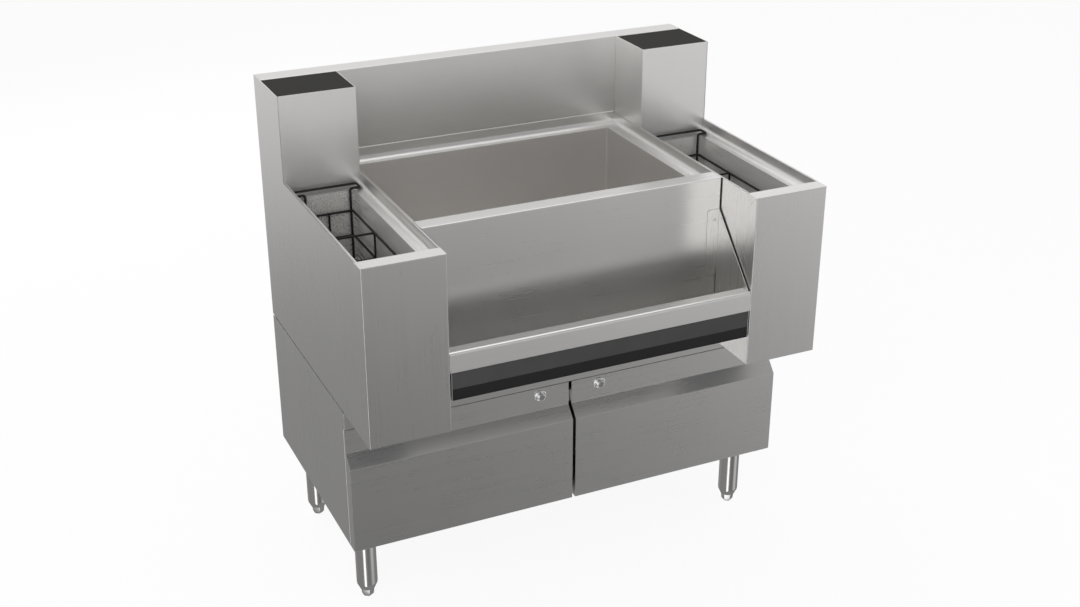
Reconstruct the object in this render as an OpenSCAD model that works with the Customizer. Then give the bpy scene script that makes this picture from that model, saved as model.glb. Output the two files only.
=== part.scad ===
// Underbar cocktail station: an ice bin between two bottle-well wings, over a
// lockable storage cabinet on four adjustable legs.
// Origin: centre of the footprint on the floor. +X right, -Y front, +Z up.

/* [Overall] */
// Width over both side panels
width = 914.4; // [860:0.1:1100]
// Depth, wall face to wing front
depth = 609.6; // [590:0.1:700]
// Height of the raised deck edge above the floor
work_h = 791; // [770:1:920]
// Height of the backsplash above the raised deck edge
splash_rise = 166; // [100:1:260]
// Underside of the upper body above the floor
body_bottom_z = 449.5; // [430:0.5:455]
// Underside of the cabinet above the floor
cabinet_bottom_z = 158; // [145:1:175]

/* [Sheet metal] */
// Thickness of the stainless sheet
sheet = 1.5; // [1:0.1:2.5]
// Outside bend radius of a folded corner
bend_r = 2.6; // [2:0.1:5]
// Gap left between two sheets that lie side by side
seam = 0.3; // [0.2:0.05:0.6]

/* [Wings and towers] */
// Width of one wing
wing_w = 152.4; // [120:0.1:165]
// Depth of a tower, wall face to tower front
tower_d = 161.9; // [120:0.1:200]
// Depth of the backsplash box
splash_d = 43; // [30:0.5:60]
// Depth of the flat band along the wing front
wing_band_w = 32; // [20:0.5:45]
// Depth of a tower's black top lining below the tower rim
cap_recess = 1.2; // [0.5:0.1:4]
// Height of a tower's top lining
cap_h = 12; // [6:1:30]

/* [Decks] */
// Depth of the decks below their raised edges
deck_drop = 26; // [15:0.5:40]
// Radius of the cove between deck and raised edge
cove_r = 14; // [5:0.5:14]
// Ledge between a raised side edge and an opening
ledge_w = 21.5; // [16:0.5:30]
// Ledge between the backsplash and the bin opening
bin_back_ledge = 15; // [14.5:0.5:30]
// Ledge between a tower and its well opening
well_back_ledge = 24; // [18:0.5:40]
// Height of the splash seam above the raised edges
splash_seam_rise = 3; // [2:0.5:12]

/* [Ice bin] */
// Distance of the bin front from the wall
bin_front_d = 485.7; // [460:0.1:520]
// Depth of the flat band along the bin front
bin_band_w = 36; // [25:0.5:50]
// Depth of the bin below its deck
bin_depth = 278; // [200:1:282]
// Corner radius inside the bin and the wells
tub_r = 3; // [2:0.5:12]
// Gap between the bin front panel and each wing
bin_side_gap = 2; // [1.5:0.5:5]

/* [Bottle wells] */
// Depth of a bottle well below its deck
well_depth = 145; // [100:1:200]
// Wire diameter of the bottle rack's hanger
wire_d = 4.8; // [4.2:0.1:6]
// Wire diameter of the rack's rings
ring_wire_d = 4.6; // [3.6:0.1:4.8]
// Wire diameter of the rack's dividers, uprights and floor wires
cross_wire_d = 4.2; // [3:0.1:4.4]
// Gap between the rack's outer wire centres and the well's side walls
rack_side_gap = 5.7; // [3.5:0.1:12]
// Distance of the rack's back wires from the well's back wall
rack_back_gap = 6; // [3.5:0.1:12]
// Distance of the rack's front wires from the well's front wall
rack_front_gap = 7; // [3.5:0.1:15]
// Height of the rack's top ring above the well floor
rack_top_h = 105; // [80:1:130]
// Height of the rack's middle ring above the well floor
rack_mid_h = 54; // [30:1:70]
// Number of bottle spaces in a rack
rack_cells = 3; // [2:1:5]
// Height of the hanger rod's centre above the deck
hanger_rise = 5; // [4:0.5:9]
// Distance of the hanger rod's centre from the tower
hanger_tower_gap = 6.9; // [3:0.1:12]
// Reach of the hanger's hairpin past the rack's side wires
hanger_reach = 17; // [10:0.5:18]
// Distance of the hanger's drop wires inside the rack's side wires
drop_in = 3; // [3:0.5:14]
// Corner radius of the rack's rings
ring_r = 6; // [5:0.5:14]

/* [Speed rail] */
// Height of the rail's lip above the floor
lip_top_z = 603; // [590:1:620]
// Depth of the lip, front to back
lip_w = 24.8; // [18:0.1:34]
// Height of the lip's front face
lip_face_h = 39; // [25:1:50]
// Nose radius of the lip
lip_r = 5; // [2.6:0.1:8]
// Height of the dark bumper strip
bumper_h = 32.5; // [20:0.5:36]
// Thickness of the bumper strip
bumper_t = 3; // [2:0.1:3.4]
// Height of the black lower strip
lower_strip_h = 23; // [15:0.5:28]
// Thickness of the black lower strip
lower_strip_t = 2; // [1.5:0.1:3]
// Height of the trough's back wall
trough_back_h = 24; // [15:1:60]
// Height of the end gusset's top corner above the floor
gusset_top_z = 728; // [700:1:760]
// Width of the gusset's folded tab
tab_w = 26; // [15:0.5:40]
// Thickness of the gusset plate
gusset_t = 1.2; // [1:0.1:2]

/* [Cabinet and doors] */
// Distance of the cabinet's front edge from the wall
cabinet_d = 452.2; // [420:0.1:500]
// Thickness of the door's lower panel
door_t = 27.8; // [22:0.1:40]
// Thickness of the door's upper strip
strip_t = 6.8; // [6.6:0.1:9]
// Gap between the door's back and the cabinet
door_gap = 2.8; // [2.7:0.1:5]
// Gap between the two doors
centre_gap = 6.5; // [3:0.1:10]
// Height of the rail over the doors
rail_h = 35.9; // [34.9:0.1:60]
// Height of the door's strip above the bevel, which carries the lock
strip_h = 48.5; // [41:0.5:80]
// Height of the bevel between lower panel and strip
bevel_h = 24; // [10:0.5:30]
// Thickness of the door's sheet
door_sheet = 1.2; // [1:0.1:1.5]
// Rounding of the door's back corner at the hinge
hinge_corner_r = 3; // [2.8:0.1:4]
// Gap between door top and rail
door_top_gap = 0.6; // [0.6:0.1:2]
// Depth of the service panel behind the cabinet space
service_d = 130; // [128:1:170]
// Gap between cabinet and upper body
joint_gap = 3; // [2:0.5:6]

/* [Hinges and locks] */
// Distance of a hinge axis from the cabinet's side
hinge_in = 5; // [4.5:0.1:8]
// Distance of a hinge axis in front of the door's back face
hinge_fwd = 2.8; // [2.6:0.1:3.2]
// Radius of a hinge pin
pin_r = 1.8; // [1.5:0.1:2]
// Running clearance of a hinge pin and a lock plug
run_gap = 0.03; // [0.02:0.01:0.08]
// Length of a hinge pin inside the door
pin_len = 15; // [10:1:22]
// Distance of a lock from the centre line
lock_x = 63.7; // [50:0.1:90]
// Distance of a lock below the door's top edge
lock_drop = 17; // [14:0.5:24]
// Radius of the lock's escutcheon
escutcheon_r = 12.3; // [10:0.1:14]
// Radius of the lock's barrel
barrel_r = 7.9; // [7:0.1:9]
// Length of the barrel in front of the strip
barrel_out = 9; // [5:0.5:14]
// Radius of the lock's plug
plug_r = 5.5; // [4:0.1:6]
// Length of the lock's cam from its axis
cam_len = 31; // [28:0.5:34]

/* [Legs and drain] */
// Diameter of a leg tube
leg_d = 41.3; // [35:0.1:50]
// Distance of a leg's axis from the cabinet's side
leg_side_in = 44.2; // [35:0.1:80]
// Distance of a front leg's axis from the cabinet's front
leg_front_in = 47.8; // [40:0.1:80]
// Distance of a back leg's axis from the wall
leg_back_in = 77.8; // [40:0.1:110]
// Height of a foot below its leg tube
foot_h = 17.4; // [14:0.1:30]
// Width across the flats of a foot's hexagon
foot_af = 24; // [20:0.5:27]
// Radius of a foot's screw
stem_r = 8; // [6:0.5:9]
// Distance of the drain's axis from the wall
drain_d = 102; // [98:0.1:108]
// Radius of the drain spigot and pipe
pipe_r = 16.7; // [12:0.1:18]
// Wall of the drain spigot and pipe
pipe_wall = 2.7; // [2:0.1:4]
// Length of the drain's outlet below the cabinet
outlet_len = 22; // [15:1:40]

/* [Hidden] */
$fn = 48;

steel = "#b4b4b2";
steel_dark = "#8c8c8a";
black = "#222222";
bumper_grey = "#4a4a48";
bronze = "#a08850";
foam = "#d8cfa8";
cut = 1;

// Overall planes
side_x = width / 2;
back_y = depth / 2;
front_y = -depth / 2;
top_z = work_h + splash_rise;
wing_x = side_x - wing_w;
tower_y = back_y - tower_d;
splash_y = back_y - splash_d;
deck_z = work_h - deck_drop;

// Wing deck tray, between the inner faces of the side wrap
wing_wall_x = wing_x + sheet + seam;
tray_in_x = wing_wall_x + sheet;
tray_out_x = side_x - sheet - seam - sheet;
wing_band_y = front_y + wing_band_w;
well_lo = [tray_in_x + ledge_w - sheet, wing_band_y + sheet];
well_hi = [tray_out_x - ledge_w + sheet, tower_y - well_back_ledge];
well_floor_z = deck_z - well_depth;
well_mid_x = (well_lo.x + well_hi.x) / 2;

// Ice bin
bin_y = back_y - bin_front_d;
bin_band_y = bin_y + bin_band_w;
bin_tray_x = wing_x - seam - sheet;
bin_open_x = bin_tray_x - ledge_w;
bin_open_y0 = bin_band_y + sheet + seam;
bin_open_y1 = splash_y - bin_back_ledge;
bin_floor_z = deck_z - bin_depth;
panel_x = wing_x - bin_side_gap;
splash_seam_z = work_h + splash_seam_rise;

// Speed rail
rail_front_y = front_y + 0.5;
rail_wall_y = rail_front_y + sheet + 2.5;
rail_back_y = bin_y - seam;
lip_bottom_z = lip_top_z - lip_face_h;
strips_top_z = lip_bottom_z - 0.7;
lower_top_z = strips_top_z - bumper_h - 0.3;
lower_bottom_z = lower_top_z - lower_strip_h;
trough_z = lower_bottom_z + lower_strip_t + seam;
gusset_x = panel_x - seam;
rail_in_x = gusset_x - gusset_t - seam;
lip_end_x = wing_x - seam;
lip_back_drop = 12;

// Cabinet
cab_y = back_y - cabinet_d;
cab_top_z = body_bottom_z - joint_gap;
cab_in_x = side_x - sheet - seam;
door_back_y = cab_y - door_gap;
strip_y = door_back_y - strip_t;
panel_y = door_back_y - door_t;
door_z = cabinet_bottom_z + 2;
rail_z = cab_top_z - rail_h;
door_top_z = rail_z - door_top_gap;
door_h = door_top_z - door_z;
bevel_top_z = door_top_z - strip_h;
panel_top_z = bevel_top_z - bevel_h;
rail_lip_d = 36;
rail_lip_y = cab_y + rail_lip_d;
flange_w = 25;
service_y = back_y - service_d;

// Hinges and locks
hinge_x = side_x - hinge_in;
hinge_y = door_back_y - hinge_fwd;
bush_h = 19;
bracket_t = 2.5;
collar_t = door_z - cabinet_bottom_z - seam;
lock_z = door_top_z - lock_drop;
plug_y = strip_y - barrel_out;
barrel_back = 5.5;
barrel_end_y = door_back_y + barrel_back;
cam_t = 2.5;
cam_w = 11;
keeper_lap = 9;
keeper_half = lock_x - cam_len + keeper_lap;
keeper_gap = 2.8;
keeper_y = door_back_y + keeper_gap;
keeper_low_z = lock_z - 30.5;
keeper_high_z = lock_z + cam_w / 2 + 2.5;
keeper_notch_z = lock_z - 6.5;

// Legs
leg_r = leg_d / 2;
leg_x = side_x - leg_side_in;
leg_ys = [cab_y + leg_front_in, back_y - leg_back_in];
socket_t = 3;
socket_w = 70;
leg_bottom_z = foot_h + seam;
leg_top_z = cabinet_bottom_z - socket_t;
leg_wall = 1.6;
taper_h = 13.8;
leg_end_r = 15;
leg_plug_h = 34;
foot_travel = 22;

// Drain
drain_y = back_y - drain_d;
flange_r = 34;
flange_t = 1.5;
bowl_r = 24;
bowl_wall = 2;
spigot_end_z = cab_top_z - 26;
outlet_r = pipe_r - 0.3;
outlet_z = cabinet_bottom_z - 6 - outlet_len;

module box(lo, hi) { translate(lo) cube(hi - lo); }

module mirror_x() { mirror([1, 0, 0]) children(); }

module both_sides() {
    children();
    mirror_x() children();
}

// Extrude a profile drawn in (y, z) along X from x0 to x1
module along_x(x0, x1) {
    translate([x0, 0, 0]) rotate([90, 0, 90]) linear_extrude(x1 - x0) children();
}

// Extrude a profile drawn in (x, z) along Y from y0 to y1
module along_y(y0, y1) {
    translate([0, y1, 0]) rotate([90, 0, 0]) linear_extrude(y1 - y0) children();
}

// Rectangle from lo to hi whose two lower corners are rounded
module cove_profile(lo, hi, r) {
    translate([lo.x, lo.y + r]) square([hi.x - lo.x, hi.y - lo.y - r]);
    translate([lo.x + r, lo.y]) square([hi.x - lo.x - 2 * r, hi.y - lo.y]);
    for (x = [lo.x + r, hi.x - r]) intersection() {
        translate([x, lo.y + r]) circle(r);
        translate([x - r, lo.y]) square([2 * r, r]);
    }
}

// Block with rounded upright and bottom edges and a flat top
module tub_block(lo, hi, r) {
    box([lo.x + r, lo.y, lo.z + r], [hi.x - r, hi.y, hi.z]);
    box([lo.x, lo.y + r, lo.z + r], [hi.x, hi.y - r, hi.z]);
    box([lo.x + r, lo.y + r, lo.z], [hi.x - r, hi.y - r, hi.z]);
    for (x = [lo.x + r, hi.x - r]) {
        for (y = [lo.y + r, hi.y - r]) {
            translate([x, y, lo.z + r]) cylinder(r = r, h = hi.z - lo.z - r);
            translate([x, y, lo.z + r]) sphere(r);
        }
        translate([x, lo.y + r, lo.z + r]) rotate([-90, 0, 0]) cylinder(r = r, h = hi.y - lo.y - 2 * r);
    }
    for (y = [lo.y + r, hi.y - r])
        translate([lo.x + r, y, lo.z + r]) rotate([0, 90, 0]) cylinder(r = r, h = hi.x - lo.x - 2 * r);
}

// Open tub of sheet metal whose inside runs from lo to hi
module tub(lo, hi, r) {
    difference() {
        tub_block(lo - [sheet, sheet, sheet], hi + [sheet, sheet, 0], r + sheet);
        tub_block(lo, hi + [0, 0, cut], r);
    }
}

// Upright prism with rounded corners, for an opening that a tub meets
module rounded_prism(lo, hi, r) {
    box([lo.x + r, lo.y, lo.z], [hi.x - r, hi.y, hi.z]);
    box([lo.x, lo.y + r, lo.z], [hi.x, hi.y - r, hi.z]);
    for (x = [lo.x + r, hi.x - r], y = [lo.y + r, hi.y - r])
        translate([x, y, lo.z]) cylinder(r = r, h = hi.z - lo.z);
}

// ---------------------------------------------------------------- cabinet

module cabinet_side() {
    color(steel) {
        box([side_x - sheet, cab_y, cabinet_bottom_z], [side_x, back_y, cab_top_z]);
        box([side_x - flange_w, cab_y, cabinet_bottom_z + sheet + seam],
            [side_x - sheet, cab_y + sheet, rail_z - seam]);
    }
}

module cabinet_back() {
    color(steel_dark) {
        box([-cab_in_x, back_y - sheet, cabinet_bottom_z], [cab_in_x, back_y, cab_top_z]);
        box([-cab_in_x, back_y - flange_w, cab_top_z - 2 * sheet - seam],
            [cab_in_x, back_y - sheet, cab_top_z - sheet - seam]);
    }
}

// Floor pan with a stiffening lip along its front edge
module cabinet_floor() {
    lip_h = 18;
    lip_x = side_x - flange_w - seam;
    color(steel_dark) difference() {
        union() {
            box([-cab_in_x, cab_y, cabinet_bottom_z],
                [cab_in_x, back_y - sheet - seam, cabinet_bottom_z + sheet]);
            box([-lip_x, cab_y, cabinet_bottom_z], [lip_x, cab_y + sheet, cabinet_bottom_z + lip_h]);
        }
        translate([0, drain_y, cabinet_bottom_z - cut]) cylinder(r = pipe_r + 1, h = sheet + 2 * cut);
    }
}

// Flat sheet that closes the cabinet under the upper body
module cabinet_top() {
    end_y = back_y - sheet - seam;
    color(steel_dark) difference() {
        box([-cab_in_x, cab_y + seam, cab_top_z - sheet], [cab_in_x, end_y, cab_top_z]);
        translate([0, drain_y, cab_top_z - sheet - cut]) cylinder(r = pipe_r + 4, h = sheet + 2 * cut);
    }
}

// Removable panel that hides the drain pipe behind the cabinet space
module service_panel() {
    low = cabinet_bottom_z + sheet + seam;
    high = cab_top_z - sheet - seam;
    color(steel_dark) difference() {
        box([-cab_in_x, service_y, low], [cab_in_x, service_y + flange_w, high]);
        box([-cab_in_x - cut, service_y + sheet, low + sheet], [cab_in_x + cut, back_y, high - sheet]);
        translate([0, drain_y, low - cut]) cylinder(r = pipe_r + 5, h = high - low + 2 * cut);
    }
}

// Channel over the doors: its face is flush with the door strips
module top_rail() {
    color(steel) {
        box([-side_x, strip_y, rail_z], [side_x, strip_y + sheet, cab_top_z]);
        box([-side_x, strip_y + sheet, cab_top_z - sheet], [side_x, cab_y - seam, cab_top_z]);
        box([-side_x, strip_y + sheet, rail_z], [side_x, cab_y - seam, rail_z + sheet]);
        box([-cab_in_x, cab_y - seam, rail_z], [cab_in_x, rail_lip_y, rail_z + sheet]);
        box([-cab_in_x, rail_lip_y - sheet, rail_z + sheet],
            [cab_in_x, rail_lip_y, cab_top_z - sheet - seam]);
        both_sides()
            box([side_x - sheet, strip_y + sheet, rail_z + sheet],
                [side_x, cab_y - seam, cab_top_z - sheet]);
    }
}

// Bent strike behind the doors: both cams turn in behind its tongue
module lock_keeper() {
    base_z = rail_z - sheet;
    step_y = keeper_y + 17;
    base_d = 22;
    notch_half = 9;
    color(steel_dark) difference() {
        along_x(-keeper_half, keeper_half) {
            translate([step_y - sheet, base_z]) square([base_d, sheet]);
            translate([step_y - sheet, keeper_high_z]) square([sheet, base_z + sheet - keeper_high_z]);
            translate([keeper_y, keeper_high_z]) square([step_y - keeper_y, sheet]);
            translate([keeper_y, keeper_low_z]) square([sheet, keeper_high_z + sheet - keeper_low_z]);
        }
        box([-notch_half, keeper_y - cut, keeper_notch_z], [notch_half, step_y - 2 * sheet, base_z - seam]);
    }
}

// Foam tape between cabinet and upper body, set back from the faces
module joint_gasket() {
    inset = 4;
    tape_w = 18;
    lo = [-side_x + inset, cab_y + inset, cab_top_z];
    hi = [side_x - inset, back_y - inset, body_bottom_z];
    color(black) difference() {
        box(lo, hi);
        box(lo + [tape_w, tape_w, -cut], hi + [-tape_w, -tape_w, cut]);
    }
}

module at_legs() {
    for (x = [-leg_x, leg_x], y = leg_ys) translate([x, y, 0]) children();
}

// Flanged socket that each leg tube is welded into
module leg_sockets() {
    collar_h = 26;
    collar_r = leg_r + 4;
    collar_z = leg_top_z - collar_h;
    chamfer = 3;
    fit = 0.1;
    screw_r = 2.7;
    screw_at = socket_w * 0.42;
    color(steel_dark) at_legs() difference() {
        union() {
            translate([-socket_w / 2, -socket_w / 2, leg_top_z]) cube([socket_w, socket_w, socket_t]);
            translate([0, 0, collar_z + chamfer]) cylinder(r = collar_r, h = collar_h - chamfer);
            translate([0, 0, collar_z]) cylinder(r1 = collar_r - chamfer, r2 = collar_r, h = chamfer);
        }
        translate([0, 0, collar_z - cut]) cylinder(r = leg_r + fit, h = collar_h + cut - seam);
        for (x = [-screw_at, screw_at], y = [-screw_at, screw_at])
            translate([x, y, leg_top_z - cut]) cylinder(r = screw_r, h = socket_t + 2 * cut);
    }
}

// Tube with a tapered end and a threaded plug for the foot's screw
module leg_tube() {
    shoulder_z = leg_bottom_z + taper_h;
    bore_r = leg_r - leg_wall;
    rotate_extrude() polygon([
        [stem_r + run_gap, leg_bottom_z], [leg_end_r, leg_bottom_z], [leg_r, shoulder_z],
        [leg_r, leg_top_z - seam], [bore_r, leg_top_z - seam],
        [bore_r, leg_bottom_z + leg_plug_h], [stem_r + run_gap, leg_bottom_z + leg_plug_h]
    ]);
}

module leg_tubes() { color(steel) at_legs() leg_tube(); }

// Levelling foot: flat pad, hexagon and screw
module foot(x, y) {
    pad_h = 3;
    pad_r = foot_af / 2 - 1;
    stem_top_z = leg_bottom_z + leg_plug_h + foot_travel + 4;
    color(steel) translate([x, y, 0]) {
        cylinder(r1 = pad_r - 2, r2 = pad_r, h = pad_h);
        translate([0, 0, pad_h]) cylinder(r = foot_af / sqrt(3), h = foot_h - pad_h, $fn = 6);
        translate([0, 0, foot_h]) cylinder(r = stem_r, h = stem_top_z - foot_h);
    }
}

// Bottom pivot plates under the doors and top pins under the rail
module hinge_brackets() {
    plate_in = 33;
    plate_fwd = 6;
    plate_z = cabinet_bottom_z - bracket_t;
    screw_r = 2.2;
    bottom_collar_r = pin_r + 1.4;
    top_collar_r = pin_r + 1.2;
    color(steel_dark) both_sides() {
        difference() {
            box([side_x - plate_in, panel_y + plate_fwd, plate_z],
                [side_x - 1, leg_ys[0] - socket_w / 2 - seam, cabinet_bottom_z]);
            for (x = [0.25, 0.75])
                translate([side_x - plate_in * x, cab_y + plate_fwd, plate_z - cut])
                    cylinder(r = screw_r, h = bracket_t + 2 * cut);
        }
        translate([hinge_x, hinge_y, cabinet_bottom_z]) {
            cylinder(r = bottom_collar_r, h = collar_t);
            cylinder(r = pin_r, h = collar_t + pin_len);
        }
        translate([hinge_x, hinge_y, rail_z]) mirror([0, 0, 1]) {
            cylinder(r = top_collar_r, h = door_top_gap - seam);
            cylinder(r = pin_r, h = door_top_gap + pin_len);
        }
    }
}

// ---------------------------------------------------------------- doors

// Side outline of a door, inset by t: lower panel, bevel and thin strip
module door_outline(t, back) {
    polygon([
        [back, door_z + t], [panel_y + t, door_z + t], [panel_y + t, panel_top_z - t * 0.4],
        [strip_y + t, bevel_top_z - t * 0.4], [strip_y + t, door_top_z - t], [back, door_top_z - t]
    ]);
}

// Plan outline of a door, inset by t, rounded at the hinge's back corner
module door_plan(t, back) {
    r = hinge_corner_r - t;
    x0 = centre_gap / 2 + t;
    x1 = side_x - t;
    y0 = panel_y + t;
    translate([x0, y0]) square([x1 - x0, back - r - y0]);
    translate([x0, y0]) square([x1 - r - x0, back - y0]);
    translate([x1 - r, back - r]) circle(r);
}

module door_hole(r) {
    translate([lock_x, panel_y, lock_z]) rotate([-90, 0, 0]) cylinder(r = r, h = door_t + cut);
}

module hinge_bore() {
    translate([hinge_x, hinge_y, door_z - cut]) cylinder(r = pin_r + run_gap, h = door_h + 2 * cut);
}

// Folded pan: face, bevel, strip and the four returned edges
module door_skin() {
    inner_x = centre_gap / 2 + door_sheet;
    color(steel) difference() {
        intersection() {
            along_x(centre_gap / 2, side_x) door_outline(0, door_back_y);
            translate([0, 0, door_z]) linear_extrude(door_h) door_plan(0, door_back_y);
        }
        intersection() {
            along_x(centre_gap / 2, side_x) door_outline(door_sheet, door_back_y + cut);
            translate([0, 0, door_z]) linear_extrude(door_h) difference() {
                translate([0, panel_y]) square([side_x, door_t + cut]);
                difference() {
                    translate([-cut, panel_y - cut]) square([side_x + 2 * cut, door_t + 3 * cut]);
                    door_plan(door_sheet, door_back_y);
                    translate([inner_x, door_back_y - hinge_corner_r - cut])
                        square([side_x - hinge_corner_r - inner_x, hinge_corner_r + 3 * cut]);
                }
            }
        }
        door_hole(barrel_r + 0.2);
        hinge_bore();
    }
}

// Back sheet of the door, let in between the pan's edges
module door_liner() {
    edge = door_sheet + seam;
    color(steel_dark) difference() {
        box([centre_gap / 2 + edge, door_back_y - door_sheet, door_z + edge],
            [hinge_x - 2 * hinge_in, door_back_y, door_top_z - edge]);
        door_hole(barrel_r + 0.2);
    }
}

// Bronze blocks at the door's hinge side that turn on the pins
module hinge_bushes() {
    edge = door_sheet + seam;
    x0 = hinge_x - 2 * hinge_in + seam;
    x1 = side_x - hinge_corner_r;
    color(bronze) difference() {
        union() {
            box([x0, strip_y + edge, door_top_z - edge - bush_h], [x1, door_back_y, door_top_z - edge]);
            box([x0, strip_y - 2, door_z + edge], [x1, door_back_y, door_z + edge + bush_h]);
        }
        hinge_bore();
    }
}

// Escutcheon, barrel and back nut of a cam lock
module lock_body() {
    ring_t = 2;
    ring_bevel = 1.2;
    nut_r = barrel_r + 3.5;
    nut_t = 3;
    barrel_h = barrel_end_y - plug_y;
    color(steel) translate([lock_x, 0, lock_z]) rotate([90, 0, 0]) difference() {
        union() {
            translate([0, 0, -barrel_end_y]) cylinder(r = barrel_r, h = barrel_h);
            translate([0, 0, -strip_y])
                cylinder(r1 = escutcheon_r, r2 = escutcheon_r - ring_bevel, h = ring_t);
            translate([0, 0, -door_back_y - nut_t]) cylinder(r = nut_r, h = nut_t - seam);
        }
        translate([0, 0, -barrel_end_y - cut]) cylinder(r = plug_r + run_gap, h = barrel_h + 2 * cut);
    }
}

// Turning plug with its key slot, and the cam on its tail, drawn unlocked
module lock_plug() {
    cam_y = barrel_end_y + seam;
    slot_w = 1.6;
    slot_h = 6.5;
    slot_depth = 3;
    tail = 2;
    tail_y = cam_y + cam_t + tail;
    color(steel) translate([lock_x, 0, lock_z]) {
        rotate([90, 0, 0]) difference() {
            translate([0, 0, -tail_y]) cylinder(r = plug_r, h = tail_y - plug_y);
            translate([-slot_w / 2, -slot_h / 2, -plug_y - slot_depth])
                cube([slot_w, slot_h, slot_depth + cut]);
        }
        along_y(cam_y, cam_y + cam_t) {
            circle(cam_w / 2);
            translate([-cam_w / 2, -cam_len + cam_w / 2]) square([cam_w, cam_len - cam_w / 2]);
            translate([0, -cam_len + cam_w / 2]) circle(cam_w / 2);
        }
    }
}

// ---------------------------------------------------------------- upper body

// Bottom sheets of the bin body and of both wings
module body_floor() {
    color(steel_dark) {
        difference() {
            box([-wing_x + seam, bin_y + sheet + seam, body_bottom_z],
                [wing_x - seam, back_y - sheet - seam, body_bottom_z + sheet]);
            translate([0, drain_y, body_bottom_z - cut]) cylinder(r = pipe_r + 4, h = sheet + 2 * cut);
        }
        both_sides() box([wing_wall_x, front_y + sheet + seam, body_bottom_z],
                         [side_x - sheet - seam, back_y - sheet - seam, body_bottom_z + sheet]);
    }
}

// Plan of the sheet that wraps a wing: outer side, rounded front and inner wall
module wrap_plan() {
    inner_end_y = tower_y - seam;
    difference() {
        union() {
            translate([wing_x, front_y + bend_r]) square([wing_w, back_y - front_y - bend_r]);
            translate([wing_x + bend_r, front_y]) square([wing_w - 2 * bend_r, bend_r]);
            for (x = [wing_x + bend_r, side_x - bend_r]) translate([x, front_y + bend_r]) circle(bend_r);
        }
        difference() {
            translate([wing_x + sheet, front_y + sheet]) square([wing_w - 2 * sheet, depth]);
            for (s = [0, 1])
                translate([s == 0 ? wing_x + sheet : side_x - bend_r, front_y + sheet])
                    square([bend_r - sheet, bend_r - sheet]);
        }
        for (x = [wing_x + bend_r, side_x - bend_r]) translate([x, front_y + bend_r]) circle(bend_r - sheet);
        translate([wing_x - cut, inner_end_y]) square([sheet + 2 * cut, depth]);
    }
}

// One folded sheet: tower side, outer side, wing front and inner wall
module side_wrap() {
    color(steel) difference() {
        translate([0, 0, body_bottom_z]) linear_extrude(top_z - body_bottom_z) wrap_plan();
        box([wing_x - cut, front_y - cut, work_h], [side_x + cut, tower_y, top_z + cut]);
        box([wing_x - cut, front_y - cut, work_h - sheet - 0.1], [side_x + cut, wing_band_y + seam, top_z]);
    }
}

// Back skin, top ledge and front face of the backsplash, folded from one sheet
module backsplash() {
    end_x = side_x - sheet - seam;
    color(steel) {
        box([-end_x, back_y - sheet, body_bottom_z], [end_x, back_y, top_z]);
        box([-end_x, splash_y, top_z - sheet], [end_x, back_y, top_z]);
        box([-end_x, splash_y, splash_seam_z + seam], [end_x, splash_y + sheet, top_z]);
        both_sides() box([wing_x + seam, splash_y, deck_z - sheet], [end_x, splash_y + sheet, top_z]);
    }
}

// What a band's rounded front edge leaves away, from x0 to x1 along the edge at y
module rounded_nose(x0, x1, y) {
    along_x(x0 - cut, x1 + cut) difference() {
        translate([y - cut, work_h - sheet]) square([sheet + cut, sheet + cut]);
        translate([y + sheet, work_h - sheet]) circle(sheet);
    }
}

// Recessed well deck with coved raised sides, a riser and the front band
module wing_deck() {
    tray_end_y = tower_y - seam;
    color(steel) difference() {
        union() {
            difference() {
                along_y(wing_band_y - sheet, tray_end_y)
                    cove_profile([wing_wall_x, deck_z - sheet],
                                 [tray_out_x + sheet, work_h], cove_r + sheet);
                along_y(wing_band_y, tray_end_y + cut)
                    cove_profile([tray_in_x, deck_z], [tray_out_x, work_h + cut], cove_r);
            }
            difference() {
                box([wing_x, front_y, work_h - sheet], [side_x, wing_band_y, work_h]);
                rounded_nose(wing_x, side_x, front_y);
            }
        }
        rounded_prism([well_lo.x, well_lo.y, deck_z - sheet - cut],
                      [well_hi.x, well_hi.y, deck_z + cut], tub_r);
    }
}

// Tub of a bottle well, hung under the deck's opening
module well_liner() {
    color(steel_dark)
        tub([well_lo.x, well_lo.y, well_floor_z], [well_hi.x, well_hi.y, deck_z - sheet], tub_r);
}

// Front and inner side of a tower, folded from one sheet
module tower() {
    color(steel) {
        box([wing_x, tower_y, deck_z - sheet], [side_x - sheet - seam, tower_y + sheet, top_z]);
        box([wing_x, tower_y, deck_z - sheet], [wing_x + sheet, splash_y - seam, top_z]);
    }
}

// Black moulded lining that closes a tower's top
module tower_cap() {
    wall = 2;
    lo = [wing_x + sheet + seam, tower_y + sheet + seam, top_z - cap_recess - cap_h];
    hi = [side_x - sheet - seam, splash_y - seam, top_z - cap_recess];
    color(black) difference() {
        box(lo, hi);
        box(lo + [wall, wall, -cut], hi - [wall, wall, wall]);
    }
}

// Insulating foam between the skins and the tubs
module foam_core() {
    low = body_bottom_z + sheet + seam;
    high = deck_z - sheet - seam;
    gap = [sheet + seam, sheet + seam, sheet + seam];
    back = back_y - sheet - seam;
    color(foam) {
        difference() {
            box([-panel_x + sheet + seam, bin_y + sheet + seam, low], [panel_x - sheet - seam, back, high]);
            tub_block([-bin_open_x, bin_open_y0, bin_floor_z] - gap,
                      [bin_open_x, bin_open_y1, high + cut] + [gap.x, gap.y, 0], tub_r + gap.x);
            translate([0, drain_y, low - cut]) cylinder(r = bowl_r + 2.5, h = bin_floor_z - low);
        }
        both_sides() difference() {
            box([wing_wall_x, front_y + bend_r + seam, low], [side_x - sheet - seam, back, high]);
            tub_block([well_lo.x, well_lo.y, well_floor_z] - gap,
                      [well_hi.x, well_hi.y, high + cut] + [gap.x, gap.y, 0], tub_r + gap.x);
        }
    }
}

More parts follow.
